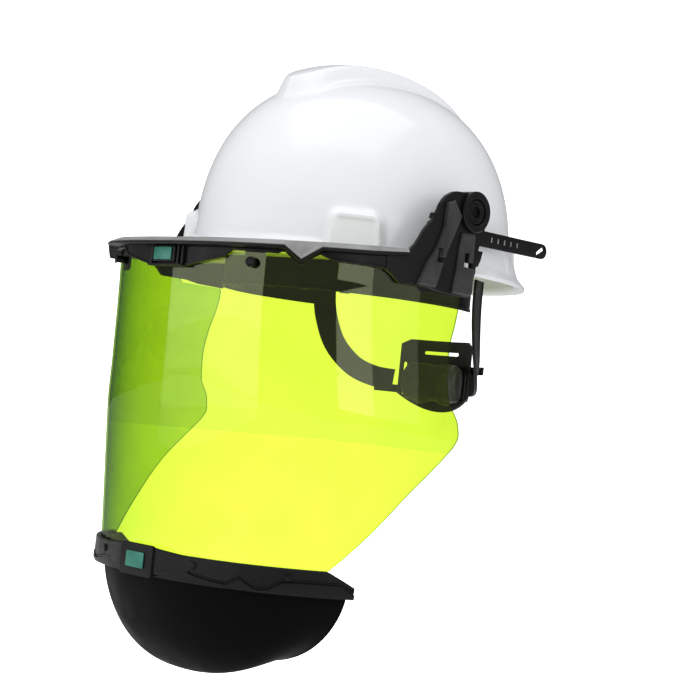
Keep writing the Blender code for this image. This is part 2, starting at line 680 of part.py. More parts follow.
def build_arm(side, word):
    """The flat arm that slides in the bracket, round at its end with an open hook slot."""
    half = ARM_HEIGHT / 2
    centre = ARM_END_Y - half
    outline = [(ARM_START_Y, ARM_Z - half), (centre, ARM_Z - half)]
    turns = [radians(18 * i) for i in range(1, 10)]
    outline += [(centre + half * sin(a), ARM_Z - half * cos(a)) for a in turns]
    outline += [(centre, ARM_Z + half), (ARM_START_Y, ARM_Z + half)]
    low, high = sorted((side * ARM_IN_X, side * ARM_OUT_X))
    origin = (side * (ARM_IN_X + ARM_OUT_X) / 2, ARM_START_Y, ARM_Z)
    arm = plate(f"retention_arm_{word}", "frame", outline, "x", low, high, origin)
    hook = [
        (centre + 0.0030, ARM_Z + 0.0022), (centre + 0.0014, ARM_Z + 0.0030), (centre - 0.0050, ARM_Z - 0.0022),
        (centre - 0.0050, ARM_Z - 0.0075), (centre - 0.0034, ARM_Z - 0.0075), (centre - 0.0034, ARM_Z - 0.0030),
    ]
    cut(arm, plate(f"hook_slot_{word}", None, hook, "x", low - 0.002, high + 0.002))
    for i in range(5):
        y = 0.0230 + 0.0070 * i
        tick = rounded(y, ARM_Z - 0.0016, y + 0.0012, ARM_Z + 0.0020, 0.0003, 1)
        deep, out = sorted((side * (ARM_OUT_X - 0.0005), side * (ARM_OUT_X + 0.001)))
        cut(arm, plate(f"tick_{word}_{i}", None, tick, "x", deep, out))


# ---------------------------------------------------------------- chin protector
def build_chin():
    """The channel on the visor's lower edge, its rivets, and the deep cup below."""
    end = arc_at_y(BAND_REAR_Y, BAND_TOP_Z)
    stations = [end * i / 22 for i in range(-22, 23)]
    sections = []
    for s in stations:
        y = visor_point(s, BAND_TOP_Z)[1]
        top = along(y, [(-0.100, BAND_TOP_Z), (BAND_REAR_Y, -0.2198)])
        low = BAND_BOTTOM_Z
        inner_top = min(-0.2120, top)
        outline = [
            (0.0006, top), (0.0034, top - 0.0008), (0.0040, low + 0.0012), (0.0026, low), (-0.0060, low),
            (-0.0064, low + 0.0008), (-0.0064, low + 0.0024), (-0.0038, low + 0.0040), (-0.0038, inner_top),
            (-0.0018, inner_top), (-0.0018, VISOR_BOTTOM_Z - GAP), (0.0006, VISOR_BOTTOM_Z - GAP),
        ]
        sections.append([visor_point(s, z, out) for out, z in outline])
    band = add_object("chin_band", "frame", *sweep(sections))
    for side in (-1, 1):
        tab = []
        for x in (0.0230, 0.0280, 0.0330, 0.0380):
            s = side * arc_at_x(x)
            corners = ((0.0030, -0.2250), (0.0062, -0.2240), (0.0062, -0.2080), (0.0030, -0.2110))
            tab.append([visor_point(s, z, out) for out, z in corners])
        cut(band, add_object(f"band_tab_{side}", None, *sweep(tab)), "UNION")
    profile = [
        (-0.0052, 0.0022), (-0.0046, 0.0030), (-0.0042, 0.0030), (-0.0042 + STEP, 0.0015), (0.0042, 0.0015),
        (0.0042 + STEP, 0.0026), (0.0050, 0.0022),
    ]
    for side, word in ((1, "left"), (-1, "right")):
        for place, x in zip(("front", "rear"), RIVET_X):
            s = side * arc_at_x(x)
            cut(band, bore_at(f"band_hole_{place}_{word}", s, RIVET_Z, 0.0018, 0.012))
            rivet = lathe(f"chin_rivet_{place}_{word}", "metal", profile, 16)
            rivet.location = visor_point(s, RIVET_Z)
            rivet.rotation_euler[2] = peg_turn(s, RIVET_Z)
    build_bowl()
    build_clip()


def build_bowl():
    """The deep open-backed cup: deepest in front, narrowing downwards."""
    levels = [radians(a) for a in (0, 14, 29, 44, 58, 70, 79, 85)]
    columns = 13
    end = arc_at_y(BOWL_REAR_Y, BAND_BOTTOM_Z)

    def row(angle, inset):
        size = cos(angle) ** BOWL_TAPER
        fall = sin(angle) ** BOWL_SAG
        points = []
        for i in range(-columns, columns + 1):
            x, y, _ = visor_point(end * i / columns, BAND_BOTTOM_Z, BOWL_LIP - inset)
            forward = (BOWL_REAR_Y - min(y, BOWL_REAR_Y)) * size
            ramp = smooth_step(forward / (BOWL_REAR_Y - CHIN_FRONT_Y), 0, BOWL_RAMP)
            depth = BOWL_DEPTH * fall * mixed((BOWL_REAR_SHARE, 1.0), ramp) - inset * sin(angle) ** 2
            points.append((x * size, BOWL_REAR_Y - forward, BAND_BOTTOM_Z - GAP - depth))
        return points

    outer = [row(a, 0.0) for a in levels]
    inner = [row(a, BOWL_WALL) for a in levels]
    count = len(outer[0])
    points = [p for r in outer + inner for p in r]
    half = len(levels) * count
    faces = []
    for i in range(len(levels) - 1):
        for j in range(count - 1):
            a, b = i * count + j, (i + 1) * count + j
            faces.append((a, b, b + 1, a + 1))
            faces.append((half + a, half + a + 1, half + b + 1, half + b))
        for j in (0, count - 1):
            a, b = i * count + j, (i + 1) * count + j
            faces.append((a, half + a, half + b, b))
    last = (len(levels) - 1) * count
    for j in range(count - 1):
        faces.append((j, j + 1, half + j + 1, half + j))
    faces.append(tuple(last + j for j in range(count)))
    faces.append(tuple(half + last + j for j in range(count)))
    faces.append((last, last + count - 1, half + last + count - 1, half + last))
    add_object("chin_bowl", "bowl", points, faces)


def build_clip():
    """The sprung centre clip, hinged at its top edge, with a blank badge."""
    top, low = BAND_TOP_Z + 0.0030, BAND_BOTTOM_Z - 0.0010
    front = CHIN_FRONT_Y - 0.0072
    origin = (0, CHIN_FRONT_Y - 0.0048, top)
    outline = rounded(-CLIP_HALF_WIDTH, low, CLIP_HALF_WIDTH, top, 0.0022)
    plate("chin_clip", "frame", outline, "y", front, CHIN_FRONT_Y - 0.0043, origin)
    middle = (top + low) / 2
    outline = rounded(-0.0090, middle - 0.0052, 0.0090, middle + 0.0052, 0.0008)
    plate("chin_badge", "badge", outline, "y", front - 0.0011, front - GAP, origin)


# ---------------------------------------------------------------- suspension
def oval_point(turn, z, out, half_width, half_length):
    """A point on an oval round the head, turned from the front, pushed outwards square to it."""
    nx, ny = sin(turn) / half_width, -cos(turn) / half_length
    size = hypot(nx, ny)
    x, y = half_width * sin(turn), BAND_CENTRE_Y - half_length * cos(turn)
    return x + out * nx / size, y + out * ny / size, z


def oval_strip(name, look, start, end, low, high, inner, outer, size, steps):
    """A strip of even height round the oval between two turns, in degrees."""
    sections = []
    for i in range(steps + 1):
        t = radians(start + (end - start) * i / steps)
        corners = ((inner, low), (outer, low), (outer, high), (inner, high))
        sections.append([oval_point(t, z, out, *size) for out, z in corners])
    return add_object(name, look, *sweep(sections))


def ribbon(name, look, path, widths, normal_of, thick):
    """A flat band along a path: each section is set by its width direction and its normal."""
    sections = []
    for point, across in zip(path, widths):
        n = normal_of(point)
        corners = ((-1, 0), (1, 0), (1, 1), (-1, 1))
        sections.append([
            tuple(point[k] + across[k] * a + n[k] * thick * b for k in range(3)) for a, b in corners
        ])
    return add_object(name, look, *sweep(sections))


def build_suspension():
    head = (HEAD_HALF_WIDTH, HEAD_HALF_LENGTH)
    oval_strip("headband", "band", -122, 122, HEADBAND_BOTTOM_Z, HEADBAND_TOP_Z, 0.0, 0.0018, head, 34)
    low, high = HEADBAND_BOTTOM_Z - 0.003, HEADBAND_TOP_Z + 0.002
    oval_strip("brow_pad", "pad", -64, 64, low, high, -0.0062, -0.0004, head, 20)
    ends = {}
    for place, spot in (("front", POCKET), ("rear", REAR_POCKET)):
        for side, word in ((1, "left"), (-1, "right")):
            ends[f"{place}_{word}"] = build_key(f"suspension_key_{place}_{word}", spot, side)
    build_crown_strap("crown_strap_lower", ends["front_left"], ends["rear_right"], 0.094)
    build_crown_strap("crown_strap_upper", ends["front_right"], ends["rear_left"], 0.0962)
    for side, word in ((1, "left"), (-1, "right")):
        build_nape_strap(side, word)
    build_cradle()


def build_key(name, spot, side):
    """A key seated in a shell pocket; returns the point where its strap starts."""
    nx, ny = pocket_normal(spot)
    outline = (
        (-0.0110, -0.0010), (0.0110, -0.0010), (0.0110, 0.0170),
        (0.0070, 0.0210), (-0.0070, 0.0210), (-0.0110, 0.0170),
    )
    sections = []
    for depth in (-0.0042, -0.0100):
        loop = []
        for w, z in outline:
            loop.append((side * (spot[0] + nx * depth - ny * w), spot[1] + ny * depth + nx * w, z))
        sections.append(loop)
    add_object(name, "band", *sweep(sections))
    return side * (spot[0] - nx * STRAP_DEPTH), spot[1] - ny * STRAP_DEPTH


def build_crown_strap(name, start, end, top):
    path, widths = [], []
    run = hypot(end[0] - start[0], end[1] - start[1])
    ux, uy = (end[0] - start[0]) / run, (end[1] - start[1]) / run
    steps = 26
    for i in range(steps + 1):
        a = pi * i / steps
        share = 0.5 - 0.5 * cos(a)
        z = 0.004 + (top - 0.004) * max(sin(a), 0.0) ** 0.9
        path.append((start[0] + (end[0] - start[0]) * share, start[1] + (end[1] - start[1]) * share, z))
        widths.append((-uy * CROWN_HALF_WIDTH, ux * CROWN_HALF_WIDTH, 0))
    middle = ((start[0] + end[0]) / 2, (start[1] + end[1]) / 2)

    def outward(point):
        reach = (point[0] - middle[0]) * ux + (point[1] - middle[1]) * uy
        nx, nz = reach / (run / 2) ** 2, point[2] / top**2
        size = hypot(nx, nz)
        return ux * nx / size, uy * nx / size, nz / size

    ribbon(name, "webbing", path, widths, outward, 0.0012)


def build_nape_strap(side, word):
    """The hanging strap: down from the rear key, then round to the nape cradle."""
    knots = [  # turn from the rear in degrees, height
        (62, -0.0040), (62, -0.0200), (60, -0.0370), (55, -0.0560),
        (46, -0.0710), (36, -0.0775), (26.5, -0.0790),
    ]
    fine = smooth_path(knots, 4)
    size = (NAPE_HALF_WIDTH, NAPE_HALF_LENGTH)
    sections = []
    for i, (turn, z) in enumerate(fine):
        before, after = fine[max(i - 1, 0)], fine[min(i + 1, len(fine) - 1)]
        run = radians(before[0] - after[0]) * NAPE_MEAN_RADIUS
        fall = after[1] - before[1]
        length = hypot(run, fall)
        loop = []
        for across, out in ((-1, 0), (1, 0), (1, 0.0020), (-1, 0.0020)):
            shift_turn = turn + across * NAPE_STRAP_HALF * fall / length / radians(1) / NAPE_MEAN_RADIUS
            shift_z = z + across * NAPE_STRAP_HALF * run / length
            loop.append(oval_point(radians(180 - side * shift_turn), shift_z, out, *size))
        sections.append(loop)
    add_object(f"nape_strap_{word}", "band", *sweep(sections))


def smooth_path(knots, steps):
    """A Catmull-Rom curve through the knots."""
    ends = [knots[0]] + list(knots) + [knots[-1]]
    fine = []
    for a, b, c, d in zip(ends, ends[1:], ends[2:], ends[3:]):
        for i in range(steps):
            t = i / steps
            fine.append(tuple(
                0.5 * (2 * b[k] + (c[k] - a[k]) * t + (2 * a[k] - 5 * b[k] + 4 * c[k] - d[k]) * t * t
                       + (3 * b[k] - a[k] - 3 * c[k] + d[k]) * t**3)
                for k in range(len(b))
            ))
    fine.append(tuple(knots[-1]))
    return fine


def build_cradle():
    """The nape cradle with its window, the pad inside it, and the ratchet behind it."""
    size = (NAPE_HALF_WIDTH, NAPE_HALF_LENGTH)
    sections = []
    for i in range(17):
        turn = -24.0 + 3.0 * i
        low = CRADLE_BOTTOM_Z + 0.012 * (abs(turn) / 24) ** 2
        loop = ((0.0, low), (0.0022, low), (0.0022, CRADLE_TOP_Z), (0.0, CRADLE_TOP_Z))
        sections.append([oval_point(radians(180 - turn), z, out, *size) for out, z in loop])
    cradle = add_object("nape_cradle", "band", *sweep(sections))
    window = rounded(-0.018, -0.0585, 0.018, -0.0535, 0.002)
    cut(cradle, plate("cradle_window", None, window, "y", 0.095, 0.125))
    sections = []
    for i in range(15):
        turn = -21.0 + 3.0 * i
        sections.append([oval_point(radians(180 - turn), z, out, *size) for out, z in
                         ((-0.0090, -0.0950), (-0.0006, -0.0975), (-0.0006, -0.0610), (-0.0090, -0.0640))])
    add_object("nape_pad", "pad", *sweep(sections))
    build_ratchet()


def ring_strip(name, look, start, end, low, high, inner, outer, steps, origin=(0, 0, 0)):
    """A strip of a ring about the racks' upright axis, turned from the rear, in degrees."""
    sections = []
    for i in range(steps + 1):
        t = radians(start + (end - start) * i / steps)
        sections.append([(r * sin(t), RACK_CENTRE_Y + r * cos(t), z) for r, z in
                         ((inner, low), (outer, low), (outer, high), (inner, high))])
    return add_object(name, look, *sweep(sections), origin)


def build_ratchet():
    """The housing, the pinion with its knob and detent ring, and the two rack tails it draws."""
    low, high = RACK_Z - 0.0145, RACK_Z + 0.0145
    housing = ring_strip("ratchet_housing", "band", -16, 16, low, high, 0.0836, 0.0905, 10)
    inner, outer = RACK_RADIUS - 0.0010, RACK_RADIUS + 0.0010
    cut(housing, ring_strip("rack_channel", None, -20, 20, low + 0.002, high - 0.002, inner, outer, 14))
    cut(housing, plate("housing_bore", None, disc(0, RACK_Z, 0.0033, 24), "y", 0.119, 0.126))
    axis = (0, 0, RACK_Z)
    profile = [(0.1179, PINION_RADIUS), (0.1192, PINION_RADIUS), (0.1192 + STEP, 0.0030), (0.1246, 0.0030)]
    turned_knob("ratchet_pinion", profile, 24, axis)
    profile = [(0.1249, 0.0150), (0.1262, KNOB_RADIUS), (0.1325, KNOB_RADIUS), (0.1342, 0.0148)]
    knob = turned_knob("ratchet_knob", profile, 48, axis)
    for i in range(KNOB_GROOVES):
        a = 2 * pi * i / KNOB_GROOVES
        hollow = disc(KNOB_GROOVE_OUT * cos(a), KNOB_GROOVE_OUT * sin(a), 0.0015, 6)
        groove = plate(f"knob_groove_{i}", None, hollow, "y", 0.1240, 0.1350)
        groove.location = axis
        cut(knob, groove)
    profile = [(0.1238, 0.0050), (0.1246, 0.0050), (0.1246, 0.0120), (0.1238, 0.0120)]
    turned("detent_ring", "metal", profile, axis, "y", 28)
    for side, word in ((1, "left"), (-1, "right")):
        middle = RACK_Z + side * (PINION_RADIUS + GAP + RACK_HEIGHT / 2)
        turns = (-4, 40) if side > 0 else (-40, 4)
        low, high = middle - RACK_HEIGHT / 2, middle + RACK_HEIGHT / 2
        inner, outer = RACK_RADIUS - 0.0007, RACK_RADIUS + 0.0007
        ring_strip(f"rack_tail_{word}", "band", *turns, low, high, inner, outer, 14, (0, RACK_CENTRE_Y, middle))


def turned_knob(name, profile, count, axis):
    """A solid turned about the ratchet's axis, whose origin lies on that axis."""
    made = lathe(name, "band", profile, count)
    made.location = axis
    return made


build_shell()
build_visor()
build_frame()
build_pegs()
build_latch()
for side, word in ((1, "left"), (-1, "right")):
    build_side(side, word)
build_chin()
build_suspension()
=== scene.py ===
"""The looks of the hard hat: its shell, lifting visor, chin protector and suspension.

Metres, in the CAD model's frame: the wearer faces -Y, the wearer's left is +X and up is +Z.
"""
import json

import bmesh
import bpy
import numpy as np
from math import acos, atan2, cos, hypot, pi, radians, sin
from mathutils import Matrix, Vector, noise

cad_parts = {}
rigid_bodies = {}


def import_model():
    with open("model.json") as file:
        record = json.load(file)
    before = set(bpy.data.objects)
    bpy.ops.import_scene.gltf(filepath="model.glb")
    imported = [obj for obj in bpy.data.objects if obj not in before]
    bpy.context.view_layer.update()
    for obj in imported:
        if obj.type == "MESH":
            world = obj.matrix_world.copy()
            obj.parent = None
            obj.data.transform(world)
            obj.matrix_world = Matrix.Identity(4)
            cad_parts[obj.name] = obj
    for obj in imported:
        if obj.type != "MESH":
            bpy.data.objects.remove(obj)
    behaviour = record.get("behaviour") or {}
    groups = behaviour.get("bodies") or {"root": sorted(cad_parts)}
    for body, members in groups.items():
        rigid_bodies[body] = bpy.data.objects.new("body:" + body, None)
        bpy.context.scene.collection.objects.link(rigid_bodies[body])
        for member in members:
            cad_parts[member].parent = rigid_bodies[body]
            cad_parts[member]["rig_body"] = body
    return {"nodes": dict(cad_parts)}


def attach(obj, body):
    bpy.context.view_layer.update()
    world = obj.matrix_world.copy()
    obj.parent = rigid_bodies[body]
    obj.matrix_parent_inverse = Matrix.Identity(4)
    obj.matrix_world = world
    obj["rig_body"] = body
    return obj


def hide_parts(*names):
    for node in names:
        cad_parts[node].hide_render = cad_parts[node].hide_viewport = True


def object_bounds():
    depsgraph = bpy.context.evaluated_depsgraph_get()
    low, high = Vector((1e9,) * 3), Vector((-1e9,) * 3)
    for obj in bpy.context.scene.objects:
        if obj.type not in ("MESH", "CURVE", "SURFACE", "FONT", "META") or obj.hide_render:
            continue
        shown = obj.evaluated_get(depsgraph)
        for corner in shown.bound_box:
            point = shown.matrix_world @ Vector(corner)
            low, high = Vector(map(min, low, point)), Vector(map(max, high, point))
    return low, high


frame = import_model()
CAD_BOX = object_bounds()
NODES = frame["nodes"]
SIDES = ((1, "left"), (-1, "right"))
MERGE = 2e-6  # points closer than this are one

# Light
ROOM_WHITE = (0.97, 0.985, 1.0, 1)
ROOM_SEEN = 1.7  # the white room as the camera sees it
ROOM_LIGHT = 0.79  # and as it lights the object
ROOM_GLOSS = 0.28  # and as it shows in glossy surfaces
FLOOR_GLOW = 1.3
VISOR_FACE_ON = (0.725, 0.83, 0.19)  # what passes one of the sheet's two faces, seen square
VISOR_SLANTED = (0.27, 0.43, 0.01)  # and seen along it

# Shell
DOME_HALF_WIDTH = 0.1068
DOME_HALF_LENGTH = 0.1225
DOME_CENTRE_Y = 0.004
DOME_HEIGHT = 0.1315
DOME_FULLNESS = 0.83  # 1 is an ellipsoid, less is fuller
WALL = 0.0025
CREST_FRONT_Y = -0.0793
CREST_REAR_Y = 0.0937
CREST_HALF_WIDTHS = (0.0191, 0.0398)  # front, rear
CREST_HEIGHTS = (0.0121, 0.0072)
CREST_NOSE = 0.42  # how far its front edge is swept back for each step to the side
RIM_HALF_WIDTH = 0.1175
PEAK_Y = -0.160
RIM_REAR_Y = 0.1445
PEAK_DROP = 0.008
RIM_Z = -0.004
SKIRT_FLARE = 0.009
POCKETS = ((0.0805, -0.0775), (0.0835, 0.0745))  # front and rear, on the wearer's left

# Visor and its frame: the plan curve is half a squarish ellipse, with straight sides behind it
VISOR_WIDTHS = (  # height, half width
    (-0.2105, 0.1275), (-0.116, 0.1300), (-0.085, 0.1268), (-0.0235, 0.1228),
)
VISOR_CENTRE_Y = -0.020
VISOR_FRONT_Y = -0.1650  # at the frame
CHIN_FRONT_Y = -0.1610
SQUARE_TOP, SQUARE_CHIN = 2.60, 2.23  # the curve's exponent: 2 is an ellipse
PLAN_TOP_Z = -0.0235
VISOR_THICK = 0.0012
VISOR_BOTTOM_Z = -0.2205
NOTCH_X = 0.0915
PEG_X, PEG_Z = 0.067, -0.0185
PIVOT_Y, PIVOT_Z = -0.011, 0.0352

# Chin protector
BAND_TOP_Z, BAND_BOTTOM_Z = -0.2105, -0.2275
BAND_REAR_Y = -0.083
BOWL_DEPTH = 0.0673
BOWL_REAR_Y = -0.0839
BOWL_REAR_SHARE = 0.79  # its depth at the open rear, as a share of the depth in front
BOWL_RAMP = 0.46  # how far forward, as a share of its length, it reaches full depth
BOWL_LIP = -0.0040
BOWL_TAPER = 0.60  # how fast its outline shrinks on the way down
BOWL_SAG = 1.38  # how fast its depth grows
BOWL_WALL = 0.0022
RIVET_X = (0.050, 0.096)
RIVET_Z = -0.2160

# Suspension
HEAD_HALF = (0.081, 0.100)
BAND_CENTRE_Y = 0.006
NAPE_HALF = (0.088, 0.108)
RACK_Z = -0.0765


# ---------------------------------------------------------------- camera, floor and light
def make_camera():
    """A long lens at the photograph's angle, turned a little about its own axis."""
    azimuth, elevation, roll = radians(44.6), radians(-1.9), radians(5.9)
    distance, across, up_shift = 1.277, -0.0016, 0.0632
    flat = Vector((cos(azimuth), sin(azimuth), 0))
    back = Vector((sin(azimuth) * cos(elevation), -cos(azimuth) * cos(elevation), sin(elevation)))
    rise = back.cross(flat)
    right = cos(roll) * flat + sin(roll) * rise
    up = -sin(roll) * flat + cos(roll) * rise
    data = bpy.data.cameras.new("camera")
    data.lens = 90
    data.clip_start, data.clip_end = 0.01, 40
    camera = bpy.data.objects.new("camera", data)
    place = Matrix.Translation(back * distance - right * across - up * up_shift)
    camera.matrix_world = place @ Matrix((right, up, back)).transposed().to_4x4()
    bpy.context.collection.objects.link(camera)
    bpy.context.scene.camera = camera


def make_stage():
    """A pale floor well below the object, in a white room."""
    size, level = 12.0, CAD_BOX[0].z - 0.16
    corners = [(-size, -size, level), (size, -size, level), (size, size, level), (-size, size, level)]
    mesh = bpy.data.meshes.new("floor")
    mesh.from_pydata(corners, [], [(0, 1, 2, 3)])
    floor = bpy.data.objects.new("floor", mesh)
    bpy.context.collection.objects.link(floor)
    look, tree, shader = new_material("floor", (0.86, 0.86, 0.85), 0.9)
    seen = add_node(tree, "LightPath").outputs["Is Camera Ray"]
    glow = combined(tree, "MULTIPLY", seen, FLOOR_GLOW)
    set_inputs(shader, Emission_Color=(1, 1, 1, 1), Emission_Strength=glow)
    mesh.materials.append(look)

    world = bpy.data.worlds.new("studio")
    bpy.context.scene.world = world
    world.use_nodes = True
    tree = world.node_tree
    tree.nodes.clear()
    path = add_node(tree, "LightPath")
    last = add_node(tree, "Background", Color=ROOM_WHITE, Strength=ROOM_LIGHT).outputs[0]
    for ray, strength in (("Is Glossy Ray", ROOM_GLOSS), ("Is Camera Ray", ROOM_SEEN)):
        white = add_node(tree, "Background", Color=ROOM_WHITE, Strength=strength)
        last = mixed_shader(tree, path.outputs[ray], last, white.outputs[0])
    add_node(tree, "OutputWorld", Surface=last)


def softbox(name, place, aim, width, height, power):
    """A rectangular lamp turned towards a point."""
    data = bpy.data.lights.new(name, "AREA")
    data.shape = "RECTANGLE"
    data.size, data.size_y = width, height
    data.energy = power
    lamp = bpy.data.objects.new(name, data)
    lamp.location = place
    lamp.rotation_mode = "QUATERNION"
    lamp.rotation_quaternion = (Vector(aim) - Vector(place)).to_track_quat("-Z", "Y")
    bpy.context.collection.objects.link(lamp)


def make_lights():
    softbox("overhead", (0.2, -0.3, 1.5), (0, 0, 0), 1.8, 1.5, 10)
    # three panels that lie as pale veils on the visor, one in front and two on its near side
    softbox("front_panel", (-0.68, -1.80, 0.14), (-0.68, 0, 0.14), 2.56, 0.38, 6.4)
    for i, share in enumerate((0.70, 0.45, 0.22)):  # it fades downwards
        height = -0.05 - 0.08 * (i + 0.5)
        softbox(f"front_fade_{i}", (-0.68, -1.80, height), (-0.68, 0, height), 2.56, 0.08, 1.35 * share)
    softbox("side_panel", (1.80, -0.08, 0.27), (0, -0.08, 0.27), 0.75, 0.44, 2.2)
    softbox("rear_panel", (1.80, 0.80, 0.27), (0, 0.80, 0.27), 1.0, 0.44, 0.9)
    bpy.context.scene.view_settings.view_transform = "Standard"


# ---------------------------------------------------------------- materials
def set_inputs(node, **values):
    """Sets a shader node's inputs by name, with _ for each space; another node's output is linked."""
    for name, value in values.items():
        socket = node.inputs[name.replace("_", " ")]
        if isinstance(value, bpy.types.NodeSocket):
            node.id_data.links.new(value, socket)
        else:
            socket.default_value = value
    return node


def add_node(tree, kind, **values):
    return set_inputs(tree.nodes.new(f"ShaderNode{kind}"), **values)


def mixed_shader(tree, factor, a, b):
    mix = add_node(tree, "MixShader")
    for i, source in enumerate((factor, a, b)):
        tree.links.new(source, mix.inputs[i])
    return mix.outputs[0]


def new_material(name, colour, roughness, metallic=0.0):
    look = bpy.data.materials.new(name)
    look.use_nodes = True
    shader = look.node_tree.nodes["Principled BSDF"]
    set_inputs(shader, Base_Color=(*colour, 1), Roughness=roughness, Metallic=metallic)
    return look, look.node_tree, shader


def noise_node(tree, scale, detail=3.0, stretch=(1, 1, 1)):
    place = add_node(tree, "TexCoord").outputs["Object"]
    spread = add_node(tree, "Mapping", Scale=stretch, Vector=place).outputs["Vector"]
    return add_node(tree, "TexNoise", Scale=scale, Detail=detail, Vector=spread).outputs["Fac"]


def ranged(tree, source, low, high, start=0.35, end=0.65):
    span = {"From_Min": start, "From_Max": end, "To_Min": low, "To_Max": high}
    return add_node(tree, "MapRange", Value=source, **span).outputs["Result"]


def combined(tree, operation, a, b):
    made = add_node(tree, "Math")
    made.operation = operation
    for i, value in enumerate((a, b)):
        if isinstance(value, (int, float)):
            made.inputs[i].default_value = value
        else:
            tree.links.new(value, made.inputs[i])
    return made.outputs[0]


def add_bump(tree, shader, height, strength, distance):
    made = add_node(tree, "Bump", Strength=strength, Distance=distance, Height=height)
    set_inputs(shader, Normal=made.outputs["Normal"])


def mixed_colour(tree, factor, a, b):
    mix = add_node(tree, "Mix")
    mix.data_type = "RGBA"
    for name, value in (("A", a), ("B", b)):
        socket = next(s for s in mix.inputs if s.name == name and s.type == "RGBA")
        if isinstance(value, tuple):
            socket.default_value = (*value, 1)
        else:
            tree.links.new(value, socket)
    tree.links.new(factor, mix.inputs[0])
    return next(s for s in mix.outputs if s.type == "RGBA")


def tone(colour, factor, lift=0.0):
    """A lighter or darker tone of a colour."""
    return tuple(min(c * factor + lift, 1) for c in colour)


def edge_wear(tree, start=0.53, end=0.62):
    """How worn a convex edge is: more along the sharper ones, broken up by noise."""
    shape = add_node(tree, "NewGeometry")
    edges = ranged(tree, shape.outputs["Pointiness"], 0, 1, start, end)
    return combined(tree, "MULTIPLY", edges, ranged(tree, noise_node(tree, 420, 3), 0.2, 1.0))


def shell_white():
    """Gloss white plastic with a faint clouding and orange peel."""
    look, tree, shader = new_material("shell_white", (0.85, 0.86, 0.88), 0.2)
    cloud = noise_node(tree, 14, 4)
    mild = mixed_colour(tree, ranged(tree, cloud, 0, 1), (0.835, 0.845, 0.87), (0.86, 0.87, 0.885))
    wear = combined(tree, "MULTIPLY", edge_wear(tree, 0.56, 0.70), 0.25)
    worn = mixed_colour(tree, wear, mild, (0.70, 0.70, 0.70))
    set_inputs(shader, Roughness=ranged(tree, cloud, 0.17, 0.23), Base_Color=worn)
    set_inputs(shader, Coat_Weight=0.3, Coat_Roughness=0.05)
    add_bump(tree, shader, noise_node(tree, 240, 2), 0.045, 0.0004)
    return look


def moulded(name, colour, roughness, grain=0.3, grain_scale=2400, worn_tone=3.0, specular=0.5):
    """Satin moulded plastic: a fine spark-eroded grain, cloudy gloss, and paler worn edges."""
    look, tree, shader = new_material(name, colour, roughness)
    broad = noise_node(tree, 55, 4)
    gloss = ranged(tree, broad, roughness - 0.06, roughness + 0.07)
    mild = mixed_colour(tree, ranged(tree, broad, 0, 1), tone(colour, 0.82), tone(colour, 1.25))
    wear = combined(tree, "MULTIPLY", edge_wear(tree), 0.45)
    worn = mixed_colour(tree, wear, mild, tone(colour, worn_tone, 0.01))
    set_inputs(shader, Roughness=gloss, Base_Color=worn, Specular_IOR_Level=specular)
    add_bump(tree, shader, noise_node(tree, grain_scale, 2), grain, 0.0002)
    return look


def visor_look(name, face_on, slanted, roughness):
    """A clear tinted sheet: it takes more light out where it's seen at a slant."""
    look = bpy.data.materials.new(name)
    look.use_nodes = True
    tree = look.node_tree
    tree.nodes.clear()
    facing = add_node(tree, "LayerWeight", Blend=0.5).outputs["Facing"]
    haze = ranged(tree, noise_node(tree, 30, 4), 0.0, 0.05)
    slant = combined(tree, "ADD", combined(tree, "POWER", facing, 2.0), haze)
    clear = add_node(tree, "BsdfTransparent", Color=mixed_colour(tree, slant, face_on, slanted))
    gloss = add_node(tree, "BsdfAnisotropic", Roughness=roughness, Color=(1, 1, 1, 1))
    add_bump(tree, gloss, noise_node(tree, 25, 1), 0.03, 0.0005)
    mirror = combined(tree, "MULTIPLY", combined(tree, "POWER", facing, 5.0), 0.25)
    mirror = combined(tree, "ADD", mirror, 0.035)
    add_node(tree, "OutputMaterial", Surface=mixed_shader(tree, mirror, clear.outputs[0], gloss.outputs[0]))
    return look


def woven(name, colour, pitch):
    """Webbing woven in two directions along its own length and width, in millimetres of UV; its colour is
    darker in the hollows between threads, as painted shade.
    """
    look, tree, shader = new_material(name, colour, 0.78)
    place = add_node(tree, "TexCoord").outputs["UV"]
    waves = []
    for direction in ("X", "Y"):
        wave = add_node(tree, "TexWave", Scale=1 / pitch, Distortion=0.6, Detail=1.0, Vector=place)
        wave.bands_direction = direction
        waves.append(wave.outputs["Fac"])
    weave = combined(tree, "MAXIMUM", *waves)
    # darker in the weave's hollows and paler on its raised threads: painted shade
    shade = mixed_colour(tree, weave, tone(colour, 0.35), tone(colour, 1.6))
    set_inputs(shader, Base_Color=shade, Sheen_Weight=0.3, Sheen_Roughness=0.5)
    add_bump(tree, shader, weave, 0.8, 0.0003)
    return look


def knitted(name, colour):
    """Padded fabric: a fine cellular knit with soft creases, its colour darker down in the creases as painted
    shade.
    """
    look, tree, shader = new_material(name, colour, 0.9)
    place = add_node(tree, "TexCoord").outputs["Object"]
    cells = add_node(tree, "TexVoronoi", Scale=900, Vector=place)
    creases = noise_node(tree, 90, 4, (1, 1, 0.4))
    height = combined(tree, "ADD", cells.outputs["Distance"], combined(tree, "MULTIPLY", creases, 2.5))
    # darker down in the creases and paler on their tops: painted shade
    shade = mixed_colour(tree, ranged(tree, creases, 0, 1), tone(colour, 0.6), tone(colour, 1.5))
    set_inputs(shader, Base_Color=shade, Sheen_Weight=0.4, Sheen_Roughness=0.5)
    add_bump(tree, shader, height, 0.7, 0.0005)
    return look


def brushed_steel():
    look, tree, shader = new_material("brushed_steel", (0.56, 0.56, 0.55), 0.32, 1.0)
    lines = noise_node(tree, 700, 3, (1, 1, 6))
    shade = mixed_colour(tree, ranged(tree, lines, 0, 1), (0.48, 0.48, 0.47), (0.64, 0.64, 0.63))
    set_inputs(shader, Base_Color=shade, Roughness=ranged(tree, lines, 0.24, 0.42))
    add_bump(tree, shader, lines, 0.15, 0.0001)
    return look


